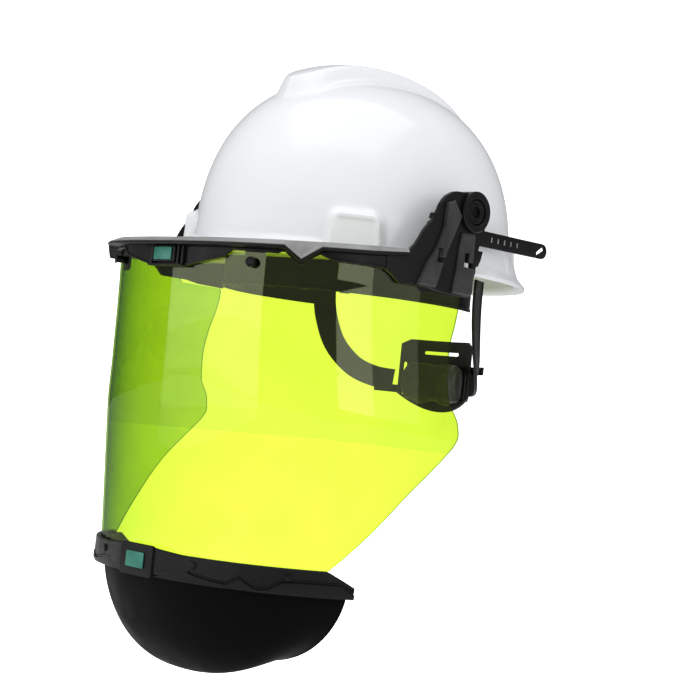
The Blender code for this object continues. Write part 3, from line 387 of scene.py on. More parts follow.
make_camera()
make_stage()
make_lights()

LOOKS = {
    "shell": shell_white(),
    "frame": moulded("frame_black", (0.0040, 0.0040, 0.0042), 0.34, specular=0.20),
    "rib": moulded("rib_black", (0.024, 0.0235, 0.023), 0.42, specular=0.40),
    "mark": moulded("mark_grey", (0.16, 0.16, 0.155), 0.45),
    # grey for the strip on the rail's top: a painted reflection of the overhead light on the black plastic
    "seal": moulded("painted_sheen_grey", (0.26, 0.26, 0.255), 0.50, worn_tone=1.2),
    "bowl": moulded("bowl_black", (0.0014, 0.0014, 0.0014), 0.50, 0.2, specular=0.05),
    "band": moulded("band_black", (0.0055, 0.0055, 0.0058), 0.42, specular=0.25),
    "badge": moulded("badge_green", (0.010, 0.150, 0.105), 0.30, 0.1, 1600, 1.6),
    "visor": visor_look("visor_green", VISOR_FACE_ON, VISOR_SLANTED, 0.015),
    "visor_edge": visor_look("visor_edge", (0.25, 0.36, 0.03), (0.10, 0.18, 0.01), 0.25),
    "webbing": woven("webbing_black", (0.028, 0.028, 0.030), 1.3),
    "pad": knitted("pad_black", (0.022, 0.022, 0.024)),
    "steel": brushed_steel(),
}


# ---------------------------------------------------------------- mesh helpers
def ease(value):
    value = np.clip(value, 0, 1)
    return value * value * (3 - 2 * value)


def along(value, knots):
    """Straight-line interpolation through (position, value) knots."""
    return float(np.interp(value, [k[0] for k in knots], [k[1] for k in knots]))


def flowing(value, knots):
    """Smooth interpolation through (position, value) knots, level where they turn."""
    xs = [k[0] for k in knots]
    value = min(max(value, xs[0]), xs[-1])
    i = min(max(int(np.searchsorted(xs, value)) - 1, 0), len(xs) - 2)

    def slope(j):
        if j in (0, len(xs) - 1):
            return 0.0
        before = (knots[j][1] - knots[j - 1][1]) / (xs[j] - xs[j - 1])
        after = (knots[j + 1][1] - knots[j][1]) / (xs[j + 1] - xs[j])
        return 0.0 if before * after <= 0 else 2 * before * after / (before + after)

    run = xs[i + 1] - xs[i]
    t = (value - xs[i]) / run
    a, b = knots[i][1], knots[i + 1][1]
    return (
        (2 * t**3 - 3 * t**2 + 1) * a + (t**3 - 2 * t**2 + t) * run * slope(i)
        + (3 * t**2 - 2 * t**3) * b + (t**3 - t**2) * run * slope(i + 1)
    )


def skinned(name, points, faces):
    """A mesh with its doubles merged and its faces pointing out."""
    mesh = bpy.data.meshes.new(name)
    mesh.from_pydata([tuple(p) for p in points], [], faces)
    shape = bmesh.new()
    shape.from_mesh(mesh)
    bmesh.ops.remove_doubles(shape, verts=shape.verts, dist=MERGE)
    bmesh.ops.recalc_face_normals(shape, faces=shape.faces)
    shape.to_mesh(mesh)
    shape.free()
    return mesh


def add_piece(name, points, faces, look="frame", body="visor_assembly", replaced=(), sharp=35):
    """One mesh piece riding on a body; look is a key of LOOKS."""
    return finish_piece(name, skinned(name, points, faces), look, body, replaced, sharp)


def add_skin(name, sections, look="frame", body="visor_assembly", replaced=(), sharp=35):
    return add_piece(name, *sweep(sections), look, body, replaced, sharp)


def finish_piece(name, mesh, look, body, replaced, sharp):
    mesh.shade_smooth()
    mesh.set_sharp_from_angle(angle=radians(sharp))
    mesh.materials.clear()
    mesh.materials.append(LOOKS[look])
    made = bpy.data.objects.new(name, mesh)
    bpy.context.collection.objects.link(made)
    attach(made, body)
    if replaced:
        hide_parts(*replaced)
    return made


def sweep(sections, closed=False):
    """A skin through equal rings of points, capped at both ends unless it closes on itself."""
    count = len(sections[0])
    points = [p for section in sections for p in section]
    faces = []
    for i in range(len(sections) if closed else len(sections) - 1):
        a, b = i * count, (i + 1) % len(sections) * count
        for j in range(count):
            k = (j + 1) % count
            faces.append((a + j, a + k, b + k, b + j))
    if not closed:
        faces.append(tuple(range(count)))
        faces.append(tuple(range(len(points) - count, len(points))))
    return points, faces


def softened(outline, size, steps=2):
    """A closed outline with each corner cut back by size and rounded."""
    made = []
    count = len(outline)
    for i in range(count):
        here = np.array(outline[i], float)
        legs = []
        for other in (outline[i - 1], outline[(i + 1) % count]):
            leg = np.array(other, float) - here
            length = np.linalg.norm(leg)
            legs.append(here + leg * min(size / max(length, 1e-9), 0.45))
        for k in range(steps + 1):
            t = k / steps
            made.append(tuple((1 - t) ** 2 * legs[0] + 2 * t * (1 - t) * here + t * t * legs[1]))
    return made


def finish_shape(name, shape, look, body, replaced):
    mesh = bpy.data.meshes.new(name)
    shape.to_mesh(mesh)
    shape.free()
    return finish_piece(name, mesh, look, body, replaced, 30)


def plate(name, rings, look="frame", body="visor_assembly", replaced=(), bevel=0.0004):
    """A plate between two equal outlines, with bevelled edges."""
    shape = bmesh.new()
    back, front = [[shape.verts.new(p) for p in ring] for ring in rings]
    for i in range(len(back)):
        k = (i + 1) % len(back)
        shape.faces.new((back[i], back[k], front[k], front[i]))
    shape.faces.new(back)
    shape.faces.new(front)
    bmesh.ops.recalc_face_normals(shape, faces=shape.faces)
    bevel_edges(shape, bevel)
    return finish_shape(name, shape, look, body, replaced)


def side_rings(outline, inner, outer, side):
    """An outline in (Y, Z), at two distances out."""
    return [[(side * out, y, z) for y, z in outline] for out in (inner, outer)]


def front_rings(outline, back, front):
    """An outline in (X, Z), at two depths in front of the visor's foremost line."""
    return [[(x, VISOR_FRONT_Y - depth, z) for x, z in outline] for depth in (back, front)]


def bevel_edges(shape, width):
    if width <= 0:
        return
    edges = [e for e in shape.edges if len(e.link_faces) == 2 and e.calc_face_angle(0) > radians(32)]
    bmesh.ops.bevel(
        shape, geom=edges, offset=width, segments=2, profile=0.6, affect="EDGES", clamp_overlap=True
    )


def turned(name, profile, centre, axis, body="visor_assembly", replaced=(), count=64, sharp=30, closed=False):
    """A part turned about an axis: profile holds (distance along it from the centre, radius)."""
    spin = Vector(axis).normalized().to_track_quat("Z", "Y")
    sections = []
    for distance, radius in profile:
        ring = []
        for i in range(count):
            a = 2 * pi * i / count
            ring.append(Vector(centre) + spin @ Vector((radius * cos(a), radius * sin(a), distance)))
        sections.append(ring)
    return add_piece(name, *sweep(sections, closed), "frame", body, replaced, sharp)


def refined(node, look, width):
    """A CAD node's own shape, with fine bevels on its edges."""
    shape = bmesh.new()
    shape.from_mesh(NODES[node].data)
    bmesh.ops.remove_doubles(shape, verts=shape.verts, dist=MERGE)
    bmesh.ops.dissolve_limit(shape, angle_limit=radians(1.5), verts=shape.verts, edges=shape.edges)
    bevel_edges(shape, width)
    finish_shape(f"{node}_fine", shape, look, NODES[node]["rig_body"], (node,))


def bake(piece):
    """Applies a piece's modifiers; it keeps its one look."""
    look = piece.data.materials[0]
    bpy.context.view_layer.update()
    shaped = bpy.data.meshes.new_from_object(piece.evaluated_get(bpy.context.evaluated_depsgraph_get()))
    piece.modifiers.clear()
    piece.data = shaped
    shaped.materials.clear()
    shaped.materials.append(look)


def cut(target, cutters):
    """Cuts the cutters out of the target, and removes them."""
    for cutter in cutters:
        step = target.modifiers.new("cut", "BOOLEAN")
        step.solver = "EXACT"
        step.object = cutter
    bake(target)
    for cutter in cutters:
        bpy.data.objects.remove(cutter, do_unlink=True)


def cutter_object(rings):
    made = bpy.data.objects.new("cutter", skinned("cutter", *sweep(rings)))
    bpy.context.collection.objects.link(made)
    return made


# ---------------------------------------------------------------- shell
def crest_rise(x, y, z):
    """How far the raised crest stands over the dome at a point."""
    share = np.clip((y - CREST_FRONT_Y) / (CREST_REAR_Y - CREST_FRONT_Y), 0, 1)
    half = CREST_HALF_WIDTHS[0] + share * (CREST_HALF_WIDTHS[1] - CREST_HALF_WIDTHS[0])
    reach = 0.004
    distances = (
        half - np.abs(x),
        1.31 * (y - CREST_FRONT_Y - CREST_NOSE * np.abs(x)),
        0.5 * (CREST_REAR_Y - y),
    )
    inside = -reach * np.log(sum(np.exp(-d / reach) for d in distances))
    height = CREST_HEIGHTS[0] + share * (CREST_HEIGHTS[1] - CREST_HEIGHTS[0])
    return height * ease(inside / 0.0088 + 0.31) * ease((z - 0.045) / 0.04)


def dome_row(turns, rise, inset=0.0):
    flat = max(cos(rise), 0.0) ** DOME_FULLNESS
    x = (DOME_HALF_WIDTH - inset) * flat * np.sin(turns)
    y = DOME_CENTRE_Y - (DOME_HALF_LENGTH - inset) * flat * np.cos(turns)
    z = np.full_like(x, (DOME_HEIGHT - inset) * sin(rise) ** DOME_FULLNESS)
    return np.stack([x, y, z + crest_rise(x, y, z)], axis=1)


def brim_row(turns, share_rear, share_front, z):
    """A row between the dome's foot, share 0, and the brim's edge, share 1."""
    share = share_front + (share_rear - share_front) * ease((-np.cos(turns) - 0.1) / 0.6)
    front = np.maximum(np.cos(turns), 0)
    reach = np.where(np.cos(turns) > 0, DOME_CENTRE_Y - PEAK_Y, RIM_REAR_Y - DOME_CENTRE_Y)

    def oval(width, length):
        return np.stack([width * np.sin(turns), DOME_CENTRE_Y - length * np.cos(turns)], axis=1)

    foot, edge = oval(DOME_HALF_WIDTH, DOME_HALF_LENGTH), oval(RIM_HALF_WIDTH, reach)
    flat = foot + share[:, None] * (edge - foot)
    fall = np.maximum(share, 0) ** 1.5 * PEAK_DROP * front**2
    return np.column_stack([flat, z - fall])


def corner_cut(rows, times):
    """Chaikin's corner cutting between the rows, which keeps the first and the last."""
    for _ in range(times):
        fine = [rows[0]]
        for a, b in zip(rows, rows[1:]):
            fine += [0.75 * a + 0.25 * b, 0.25 * a + 0.75 * b]
        rows = fine + [rows[-1]]
    return rows


def pocket_normal(spot):
    outward = atan2((spot[1] - DOME_CENTRE_Y) / DOME_HALF_LENGTH**2, spot[0] / DOME_HALF_WIDTH**2)
    return cos(outward), sin(outward)


def raise_pocket(row, spot, side):
    """Pushes one row of the dome's lower wall out to a pocket's tapered box with a soft foot."""
    nx, ny = pocket_normal(spot)
    n = np.array((side * nx, ny))
    gap = row[:, :2] - np.array((side * spot[0], spot[1]))
    depth = gap @ n
    across = np.abs(gap @ np.array((-n[1], n[0])))
    z = row[:, 2]
    lean = np.clip((z - 0.003) / 0.027, 0, 1)
    beside, above = across - (0.0172 - 0.0030 * lean), z - 0.0235
    corner = 0.0045
    outside = np.hypot(np.maximum(beside + corner, 0), np.maximum(above + corner, 0)) - corner
    # a raised frame round a slightly sunken face
    face = 0.0062 - 0.0011 * ease((-outside - 0.0022) / 0.0016)
    target = face - 2.1 * np.maximum(outside, 0)
    lift = np.where((outside < 0.012) & (depth > -0.035), target - depth, -1.0)
    soft = 0.0012
    eased = np.where(lift > 4 * soft, lift, soft * np.log1p(np.exp(lift / soft)))
    lift = np.where(lift > -4 * soft, eased, 0)
    lift *= ease((z + 0.002) / 0.005)
    row[:, :2] += lift[:, None] * n


def build_shell():
    """The outer wall, the brim and the under side as one skin of rings, from crown to crown."""
    count = 480
    turns = np.arange(count) * 2 * pi / count
    upper = [dome_row(turns, radians(a)) for a in np.linspace(89.4, 8, 118)]
    flare = SKIRT_FLARE / (RIM_REAR_Y - DOME_CENTRE_Y - DOME_HALF_LENGTH)
    shares = [  # behind, in front, height
        (0.55 * flare, 0.02, 0.011), (flare, 0.05, 0.004), (flare + 0.10, 0.30, 0.0012),
        (0.96, 0.96, RIM_Z + 0.0002), (1.0, 1.0, RIM_Z - 0.0002), (1.0, 1.0, RIM_Z - 0.0024),
        (0.96, 0.96, RIM_Z - 0.0027), (flare - 0.06, 0.24, RIM_Z - 0.0016), (flare - 0.16, -0.04, 0.0035),
    ]
    brim = [upper[-1], dome_row(turns, radians(6))] + [brim_row(turns, *row) for row in shares]
    brim = corner_cut(brim + [dome_row(turns, radians(a), WALL) for a in (7, 9)], 3)
    under = [dome_row(turns, radians(a), WALL) for a in np.linspace(10, 89.4, 60)]
    outer = upper[:-1] + brim[: len(brim) // 2]
    for row in outer:
        for spot in POCKETS:
            for side in (-1, 1):
                raise_pocket(row, spot, side)
    rows = outer + brim[len(brim) // 2 :] + under
    shell = add_skin("shell_moulding", rows, "shell", "helmet", ("shell",), 60)
    slot = [(-0.0365, -0.012), (-0.0185, -0.012), (-0.0185, 0.013), (-0.0365, 0.013)]
    cut(shell, [cutter_object(side_rings(slot, 0.1078, 0.1128, side)) for side in (-1, 1)])


# ---------------------------------------------------------------- visor curve
def plan(z):
    """The plan curve's half width, depth and exponent at a height."""
    share = min(max((PLAN_TOP_Z - z) / (PLAN_TOP_Z - BAND_TOP_Z), 0.0), 1.0)
    front = VISOR_FRONT_Y + share * (CHIN_FRONT_Y - VISOR_FRONT_Y)
    return flowing(z, VISOR_WIDTHS), VISOR_CENTRE_Y - front, SQUARE_TOP + share * (SQUARE_CHIN - SQUARE_TOP)


def arc_table(steps=1600):
    """Arc lengths, angles and Xs along half of the top edge's plan curve, from the front to one side."""
    width, depth, power = plan(0)
    angles = pi / 2 * np.linspace(0, 1, steps + 1) ** 1.5
    xs = width * np.sin(angles) ** (2 / power)
    ys = VISOR_CENTRE_Y - depth * np.maximum(np.cos(angles), 0) ** (2 / power)
    lengths = np.concatenate([[0], np.cumsum(np.hypot(np.diff(xs), np.diff(ys)))])
    return lengths, angles, xs


LENGTHS, ANGLES, XS = arc_table()


def visor_point(s, z, out=0.0):
    """A point at arc length s from the front centre, at a height, and a distance outside the visor."""
    size, side = abs(s), 1 if s >= 0 else -1
    width, depth, power = plan(z)
    if size >= LENGTHS[-1]:
        return side * (width + out), VISOR_CENTRE_Y + size - LENGTHS[-1], z
    a = float(np.interp(size, LENGTHS, ANGLES))
    across, ahead = sin(a) ** (2 / power), max(cos(a), 0.0) ** (2 / power)
    nx, ny = across ** (power - 1) / width, -(ahead ** (power - 1)) / depth
    length = hypot(nx, ny)
    return side * (width * across + out * nx / length), VISOR_CENTRE_Y - depth * ahead + out * ny / length, z


def arc_at_y(y, z=0.0):
    """The arc length at which the curve at a height reaches a Y."""
    if y >= VISOR_CENTRE_Y:
        return LENGTHS[-1] + y - VISOR_CENTRE_Y
    _, depth, power = plan(z)
    a = acos(min((VISOR_CENTRE_Y - y) / depth, 1.0) ** (power / 2))
    return float(np.interp(a, ANGLES, LENGTHS))


def arc_at_x(x):
    return float(np.interp(x, XS, LENGTHS))


def around_visor(s, outline):
    """A cross-section at arc length s, from (distance outside the visor, height) points."""
    return [visor_point(s, z, out) for out, z in outline]


def out_direction(s, z):
    return Vector(visor_point(s, z, 0.01)) - Vector(visor_point(s, z))


def both_ways(marks):
    """The marks on both sides of the front centre, in order."""
    marks = sorted(marks)
    return [-s for s in reversed(marks) if s > 0] + marks


def visor_grid(columns):
    """The clear sheet's rows of (arc length, height), with waisted rear edges and slanted corners."""
    rear = [  # height, Y of the rear edge
        (-0.2205, -0.109), (-0.212, -0.1005), (-0.186, -0.076), (-0.158, -0.050), (-0.130, -0.0185),
        (-0.1235, -0.0118), (-0.117, -0.0083), (-0.108, -0.0098), (-0.093, -0.0190), (-0.073, -0.0215),
        (-0.056, -0.0195), (-0.040, -0.0150), (-0.026, -0.0130), (PLAN_TOP_Z, -0.0140),
    ]
    top = [  # arc length, height of the top edge
        (0.0, -0.0115), (arc_at_x(0.080), -0.0085), (arc_at_y(-0.087), -0.0060), (arc_at_y(-0.080), -0.0100),
        (arc_at_y(-0.060), -0.0105), (arc_at_y(-0.054), -0.0233), (arc_at_y(-0.010), -0.0233),
    ]
    half_top = arc_at_y(flowing(PLAN_TOP_Z, rear))
    grid = []
    for share_down in (0.0, 0.33, 0.66):
        row = []
        for i in range(-columns, columns + 1):
            s = half_top * i / columns
            edge = max(along(abs(s), top), -0.0233)
            row.append((s, edge + (PLAN_TOP_Z - edge) * share_down))
        grid.append(row)
    for z in np.linspace(PLAN_TOP_Z, VISOR_BOTTOM_Z, 110):
        end = arc_at_y(flowing(z, rear), z)
        grid.append([(end * i / columns, z) for i in range(-columns, columns + 1)])
    return grid


def build_visor():
    """The clear sheet: two skins and a cut edge with its own deeper colour."""
    columns = 150
    grid = visor_grid(columns)
    count, rows = 2 * columns + 1, len(grid)
    points = [visor_point(s, z, out) for out in (0.0, -VISOR_THICK) for row in grid for s, z in row]
    layer = rows * count
    faces = []
    for i in range(rows - 1):
        for j in range(count - 1):
            a = i * count + j
            faces.append((a, a + 1, a + count + 1, a + count))
            faces.append((layer + a, layer + a + count, layer + a + count + 1, layer + a + 1))
    ring = list(range(count)) + [i * count + count - 1 for i in range(1, rows)]
    ring += [(rows - 1) * count + j for j in range(count - 2, -1, -1)]
    ring += [i * count for i in range(rows - 2, 0, -1)]
    body_faces = len(faces)
    for a, b in zip(ring, ring[1:] + ring[:1]):
        faces.append((a, b, layer + b, layer + a))
    mesh = bpy.data.meshes.new("visor_clear_sheet")
    mesh.from_pydata(points, [], faces)
    finish_piece("visor_clear_sheet", mesh, "visor", "visor_assembly", ("visor_sheet",), 40)
    mesh.materials.append(LOOKS["visor_edge"])
    for face in mesh.polygons[body_faces:]:
        face.material_index = 1
    mesh.update()


# ---------------------------------------------------------------- visor frame
def flange_z(y):
    return 0.0030 + 0.07 * (y + 0.036)


RAIL_SKIRT = [  # distance from the middle, height of the rail's lower edge
    (0.0, -0.0235), (0.016, -0.0235), (0.048, -0.0165), (0.054, -0.0115), (0.081, -0.0115),
    (0.084, -0.0085), (0.0915, -0.0165), (0.099, -0.0095), (0.104, -0.0125), (0.1155, -0.0125),
]


def rail_top(s):
    """The rail's upper face: how far ahead it is, its inner edge, its reach and three heights."""
    x, y, _ = visor_point(s, 0)
    ahead = min(max((-0.020 - y) / 0.15, 0), 1)
    reach = 0.0035 + 0.0090 * ahead**1.5
    notch = 0.0085 * max(0.0, 1 - abs(abs(x) - NOTCH_X) / 0.0075)
    ledge = flange_z(y)
    top = ledge - notch
    lip = top - 0.0025 * min(1.0, 2 * ahead)  # its upper face falls towards the lip
    inner = -0.0075 * (0.25 + 0.75 * ahead)
    return inner, reach, ledge, top, lip


def sheen_strip_section(s):
    """A thin grey strip on the rail's upper face, which also lines the notches: a painted reflection of the
    light on the black rail's top face.
    """
    inner, reach, ledge, top, lip = rail_top(s)
    return around_visor(s, [
        (inner, ledge + 0.0008), (0.0014, ledge + 0.0012), (0.0028, top + 0.0012),
        (reach - 0.0010, lip + 0.0006), (reach - 0.0008, lip + 0.0012), (0.0031, top + 0.0019),
        (0.0017, ledge + 0.0019), (inner, ledge + 0.0015),
    ])


def frame_section(s):
    """The rail's cross-section: a skirt outside the visor, and a lip with a bead above it."""
    x, y, _ = visor_point(s, 0)
    inner, reach, ledge, top, lip = rail_top(s)
    if y > -0.092:
        bottom = along(y, [(-0.092, -0.0125), (-0.080, -0.0135), (-0.073, -0.0205), (-0.05, -0.0205)])
    else:
        bottom = min(along(abs(x), RAIL_SKIRT), lip - 0.0032)
    bead = min(0.0006, (top - bottom) * 0.1)
    return around_visor(s, [
        (inner, ledge + 0.0010), (0.0014, ledge + 0.0014), (0.0028, top + 0.0014),
        (reach - 0.0005, lip + 0.0006), (reach, lip + 0.0001), (reach, lip - 0.0010),
        (reach - 0.0005, lip - 0.0014), (0.0034, lip - 0.0018), (0.0028, lip - 0.0022),
        (0.0028, bottom + 2.6 * bead), (0.0034, bottom + 2.0 * bead), (0.0034, bottom + 0.5 * bead),
        (0.0029, bottom), (0.0006, bottom), (0.0006, ledge - 0.0012), (inner, ledge - 0.0012),
    ])


# Outlines of the towers, in (Y, Z)
TOWER_LOW = [
    (-0.084, -0.0130), (-0.078, -0.0165), (-0.073, -0.0205), (-0.046, -0.0205), (-0.034, -0.0222),
    (-0.0095, -0.0228), (-0.0040, -0.0060), (-0.0035, 0.0090), (0.0015, 0.0240),
]
TOWER_HIGH = [
    (-0.084, -0.0020), (-0.072, 0.0000), (-0.064, 0.0055), (-0.056, 0.0180), (-0.048, 0.0280),
    (-0.044, 0.0370), (-0.0385, 0.0430), (-0.030, 0.0465), (-0.011, 0.0475), (0.0015, 0.0420),
]
FRONT_RIB = [
    (-0.0395, 0.0375), (-0.0330, 0.0400), (-0.0250, 0.0310), (-0.0304, 0.0165), (-0.0360, 0.0035),
    (-0.0441, -0.0200), (-0.0600, -0.0197), (-0.0535, -0.0050), (-0.0450, 0.0085), (-0.0403, 0.0222),
]
REAR_RIB = [
    (-0.0223, 0.0195), (-0.0095, 0.0208), (-0.0087, 0.0100), (-0.0085, -0.0022), (-0.0066, -0.0030),
    (-0.0070, -0.0205), (-0.0100, -0.0222), (-0.0268, -0.0215), (-0.0245, -0.0043), (-0.0239, 0.0080),
]
REAR_STEP = [(-0.0090, -0.0010), (-0.0030, -0.0010), (-0.0005, 0.0040), (0.0008, 0.0100), (-0.0090, 0.0100)]
FRONT_NIB = [(-0.0500, 0.0255), (-0.0440, 0.0255), (-0.0440, 0.0300), (-0.0490, 0.0296)]

# Turned profiles: distance along the axis, radius
HUB_DRUM = [
    (0.1190, 0.0031), (0.1190, 0.0136), (0.1194, 0.0140), (0.1222, 0.0140), (0.1225, 0.0137),
    (0.1229, 0.0137), (0.1232, 0.0140), (0.1283, 0.0140), (0.1290, 0.0133), (0.1290, 0.0094),
    (0.1286, 0.0090), (0.1236, 0.0088), (0.1232, 0.0088), (0.1232, 0.0031),
]
NUT = [
    (0.1235, 0.0001), (0.1235, 0.0085), (0.1275, 0.0085), (0.1281, 0.0080), (0.1281, 0.0066),
    (0.1277, 0.0062), (0.1277, 0.0056), (0.1281, 0.0052), (0.1281, 0.0042), (0.1279, 0.0039),
    (0.1262, 0.0036), (0.1262, 0.0001),
]
PEG = [
    (-0.0024, 0.0001), (-0.0024, 0.0028), (-0.0016, 0.0036), (-0.0004, 0.0036), (-0.0003, 0.0024),
    (0.0045, 0.0024), (0.0045, 0.0030), (0.0048, 0.0034), (0.0052, 0.0033), (0.0054, 0.0026),
    (0.0049, 0.0021), (0.0049, 0.0001),
]
RIVET = [
    (-0.0052, 0.0001), (-0.0052, 0.0022), (-0.0046, 0.0030), (-0.0042, 0.0030), (-0.0042, 0.0015),
    (0.0036, 0.0015), (0.0036, 0.0026), (0.0041, 0.0027), (0.0046, 0.0024), (0.0049, 0.0016),
    (0.0050, 0.0001),
]
HOOK_SLOT = [  # from the centre of the arm's round end
    (0.0036, 0.0012), (0.0022, 0.0032), (-0.0004, 0.0030), (-0.0062, -0.0012), (-0.0062, -0.0080),
    (-0.0036, -0.0080), (-0.0036, -0.0030),
]


def add_rib(name, outline, side, outer, edge=0.0016):
    """A raised rib with a flat face and wide sloped sides, on the tower's outer face."""
    loops = []
    middle = np.mean(np.array(outline), axis=0)
    for out, shrink in ((0.0, 0.0), (outer - 0.0010, 0.0), (outer, edge)):
        ring = []
        for y, z in outline:
            gap = np.array((y, z)) - middle
            y2, z2 = middle + gap * (1 - shrink / max(np.linalg.norm(gap), 1e-6))
            x = visor_point(arc_at_y(float(y2)), 0)[0]
            ring.append((side * (x + 0.0030 + out), y2, z2))
        loops.append(ring)
    return add_skin(name, loops, "rib", sharp=18)


def build_frame():
    marks = set(np.linspace(0, arc_at_y(-0.068), 130))
    marks |= {arc_at_x(x) for x in (0.016, 0.048, 0.054, 0.081, 0.084, NOTCH_X, 0.099, 0.104)}
    stations = both_ways(marks)
    add_skin("visor_rail", [frame_section(s) for s in stations], replaced=("visor_frame",), sharp=26)
    # the grey strip on the rail's upper face is a painted reflection, not a part
    add_skin("rail_painted_sheen", [sheen_strip_section(s) for s in stations], "seal", sharp=26)
    for side, word in SIDES:
        build_tower(side, word)
        build_peg_tab(side, word)
    build_latch_surround()


def build_tower(side, word):
    """The plate that rises to the hub, with two ribs and an L-shaped opening through each."""
    sections = []
    for y in sorted(set(np.linspace(-0.084, 0.0015, 60)) | {y for y, _ in TOWER_LOW}):
        low, high = along(y, TOWER_LOW), flowing(y, TOWER_HIGH)
        loop = [
            (0.0006, low), (0.0030, low), (0.0034, low + 0.0005), (0.0034, high - 0.0006), (0.0028, high),
            (0.0006, high),
        ]
        sections.append(around_visor(side * arc_at_y(y), loop))
    parts = [
        add_skin(f"tower_{word}", sections, sharp=26),
        add_rib(f"tower_front_rib_{word}", FRONT_RIB, side, 0.0030),
        add_rib(f"tower_rear_rib_{word}", REAR_RIB, side, 0.0026),
    ]
    for y in (-0.0455, -0.0185):
        opening = [
            (y, -0.0030), (y + 0.0098, -0.0030), (y + 0.0098, 0.0006), (y + 0.0046, 0.0006),
            (y + 0.0046, 0.0066), (y, 0.0066),
        ]
        for part in parts:
            cut(part, [cutter_object(side_rings(opening, 0.112, 0.135, side))])
    plate(f"tower_step_{word}", side_rings(REAR_STEP, 0.1236, 0.1272, side))
    plate(f"tower_nib_{word}", side_rings(softened(FRONT_NIB, 0.001), 0.1205, 0.1255, side))
    turned(f"hub_drum_{word}", HUB_DRUM, (0, PIVOT_Y, PIVOT_Z), (side, 0, 0), count=96, closed=True)


def build_peg_tab(side, word):
    """The rounded tab behind the visor that its peg clips into."""
    tab = []
    for i in range(-4, 5):
        s = side * arc_at_x(PEG_X) + 0.00175 * i
        top = flange_z(visor_point(s, 0)[1]) - 0.0004
        low = -0.0255 + 0.0016 * (abs(i) / 4) ** 3
        loop = [(-0.0042, top), (-0.0018, top), (-0.0018, low), (-0.0022, low - 0.0004), (-0.0042, low)]
        tab.append(around_visor(s, loop))
    add_skin(f"peg_tab_{word}", tab)


def build_latch_surround():
    """The raised surround beside the latch, with an upright groove on each side of the button."""
    for side, word in SIDES:
        for x0, x1, front in ((0.0125, 0.0142, 0.0062), (0.0150, 0.0172, 0.0048)):
            outline = [(x0, -0.0236), (x1, -0.0228), (x1, -0.0060), (x0, -0.0060)]
            outline = [(side * x, z) for x, z in outline]
            plate(f"latch_post_{word}_{int(x0 * 1e4)}", front_rings(outline, 0.0002, front))
    sill = [(-0.0172, -0.0238), (0.0172, -0.0238), (0.0172, -0.0222), (-0.0172, -0.0222)]
    plate("latch_sill", front_rings(sill, 0.0002, 0.0060))


def build_pegs():
    for side, word in SIDES:
        s = side * arc_at_x(PEG_X)
        turned(
            f"peg_turned_{word}", PEG, visor_point(s, PEG_Z), out_direction(s, PEG_Z),
            replaced=(f"visor_peg_{word}",), count=40,
        )


# ---------------------------------------------------------------- side hardware
def build_side(side, word):
    """The pivot's nut, pin and washer, the bracket in the shell's slot, and the sliding arm."""
    node = f"pivot_nut_{word}"
    turned(
        f"nut_turned_{word}", NUT, (0, PIVOT_Y, PIVOT_Z), (side, 0, 0),
        NODES[node]["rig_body"], (node,), 72, 25,
    )
    refined(f"pivot_pin_{word}", "steel", 0.0002)
    refined(f"spring_washer_{word}", "steel", 0.0002)
    refined(f"slot_bracket_{word}", "frame", 0.0005)
    build_arm(side, word)


def build_arm(side, word):
    """The sliding arm, with an open hook slot at its round end and five pale marks."""
    inner, outer, half, z = 0.1121, 0.1145, 0.0054, 0.0208
    foot, centre = -0.0120, 0.0855 - half
    outline = [(foot, z - half), (centre, z - half)]
    outline += [(centre + half * sin(a), z - half * cos(a)) for a in np.linspace(0, pi, 17)[1:-1]]
    outline += [(centre, z + half), (foot, z + half)]
    node = f"retention_arm_{word}"
    body = NODES[node]["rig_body"]
    rings = side_rings(outline, inner, outer, side)
    arm = plate(f"arm_moulded_{word}", rings, "frame", body, (node,), 0.0003)
    slot = softened([(centre + y, z + up) for y, up in HOOK_SLOT], 0.0006)
    cut(arm, [cutter_object(side_rings(slot, inner - 0.002, outer + 0.002, side))])
    for i in range(5):
        y = 0.0230 + 0.0070 * i
        mark = [(y, z - 0.0014), (y + 0.0011, z - 0.0014), (y + 0.0011, z + 0.0020), (y, z + 0.0020)]
        rings = side_rings(mark, outer - 0.0002, outer + 0.0001, side)
        plate(f"arm_mark_{word}_{i}", rings, "mark", body, bevel=0)


# ---------------------------------------------------------------- chin protector
WING = [  # X, height of the embossed line on the band
    (0.0, -0.2180), (0.030, -0.2170), (0.047, -0.2215), (0.060, -0.2235), (0.0665, -0.2240),
    (0.0735, -0.2190), (0.0815, -0.2248), (0.0875, -0.2242), (0.094, -0.2185), (0.102, -0.2180),
]


def band_section(s):
    """The channel on the visor's lower edge, stepped at the embossed line."""
    x, y, _ = visor_point(s, BAND_TOP_Z)
    top = along(y, [(-0.100, BAND_TOP_Z), (BAND_REAR_Y, -0.2198)])
    inner_top = min(-0.2120, top)
    low = BAND_BOTTOM_Z
    notch = 0.0030 * max(0.0, 1 - abs(abs(x) - 0.0735) / 0.0065)
    line = min(max(along(abs(x), WING), low + 0.0020), top - 0.0035)
    return around_visor(s, [
        (0.0004, top), (0.0030, top), (0.0035, top - 0.0006), (0.0036, line + 0.0008),
        (0.0029, line + 0.0003), (0.0028, line - 0.0006), (0.0041, line - 0.0012),
        (0.0041, low + 0.0013 + notch * 0.4), (0.0036, low + notch * 0.3), (0.0026, low),
        (-0.0060, low), (-0.0064, low + 0.0008), (-0.0064, low + 0.0024), (-0.0038, low + 0.0040),
        (-0.0038, inner_top), (-0.0016, inner_top), (-0.0016, VISOR_BOTTOM_Z - 0.0003),
        (0.0004, VISOR_BOTTOM_Z - 0.0003),
    ])


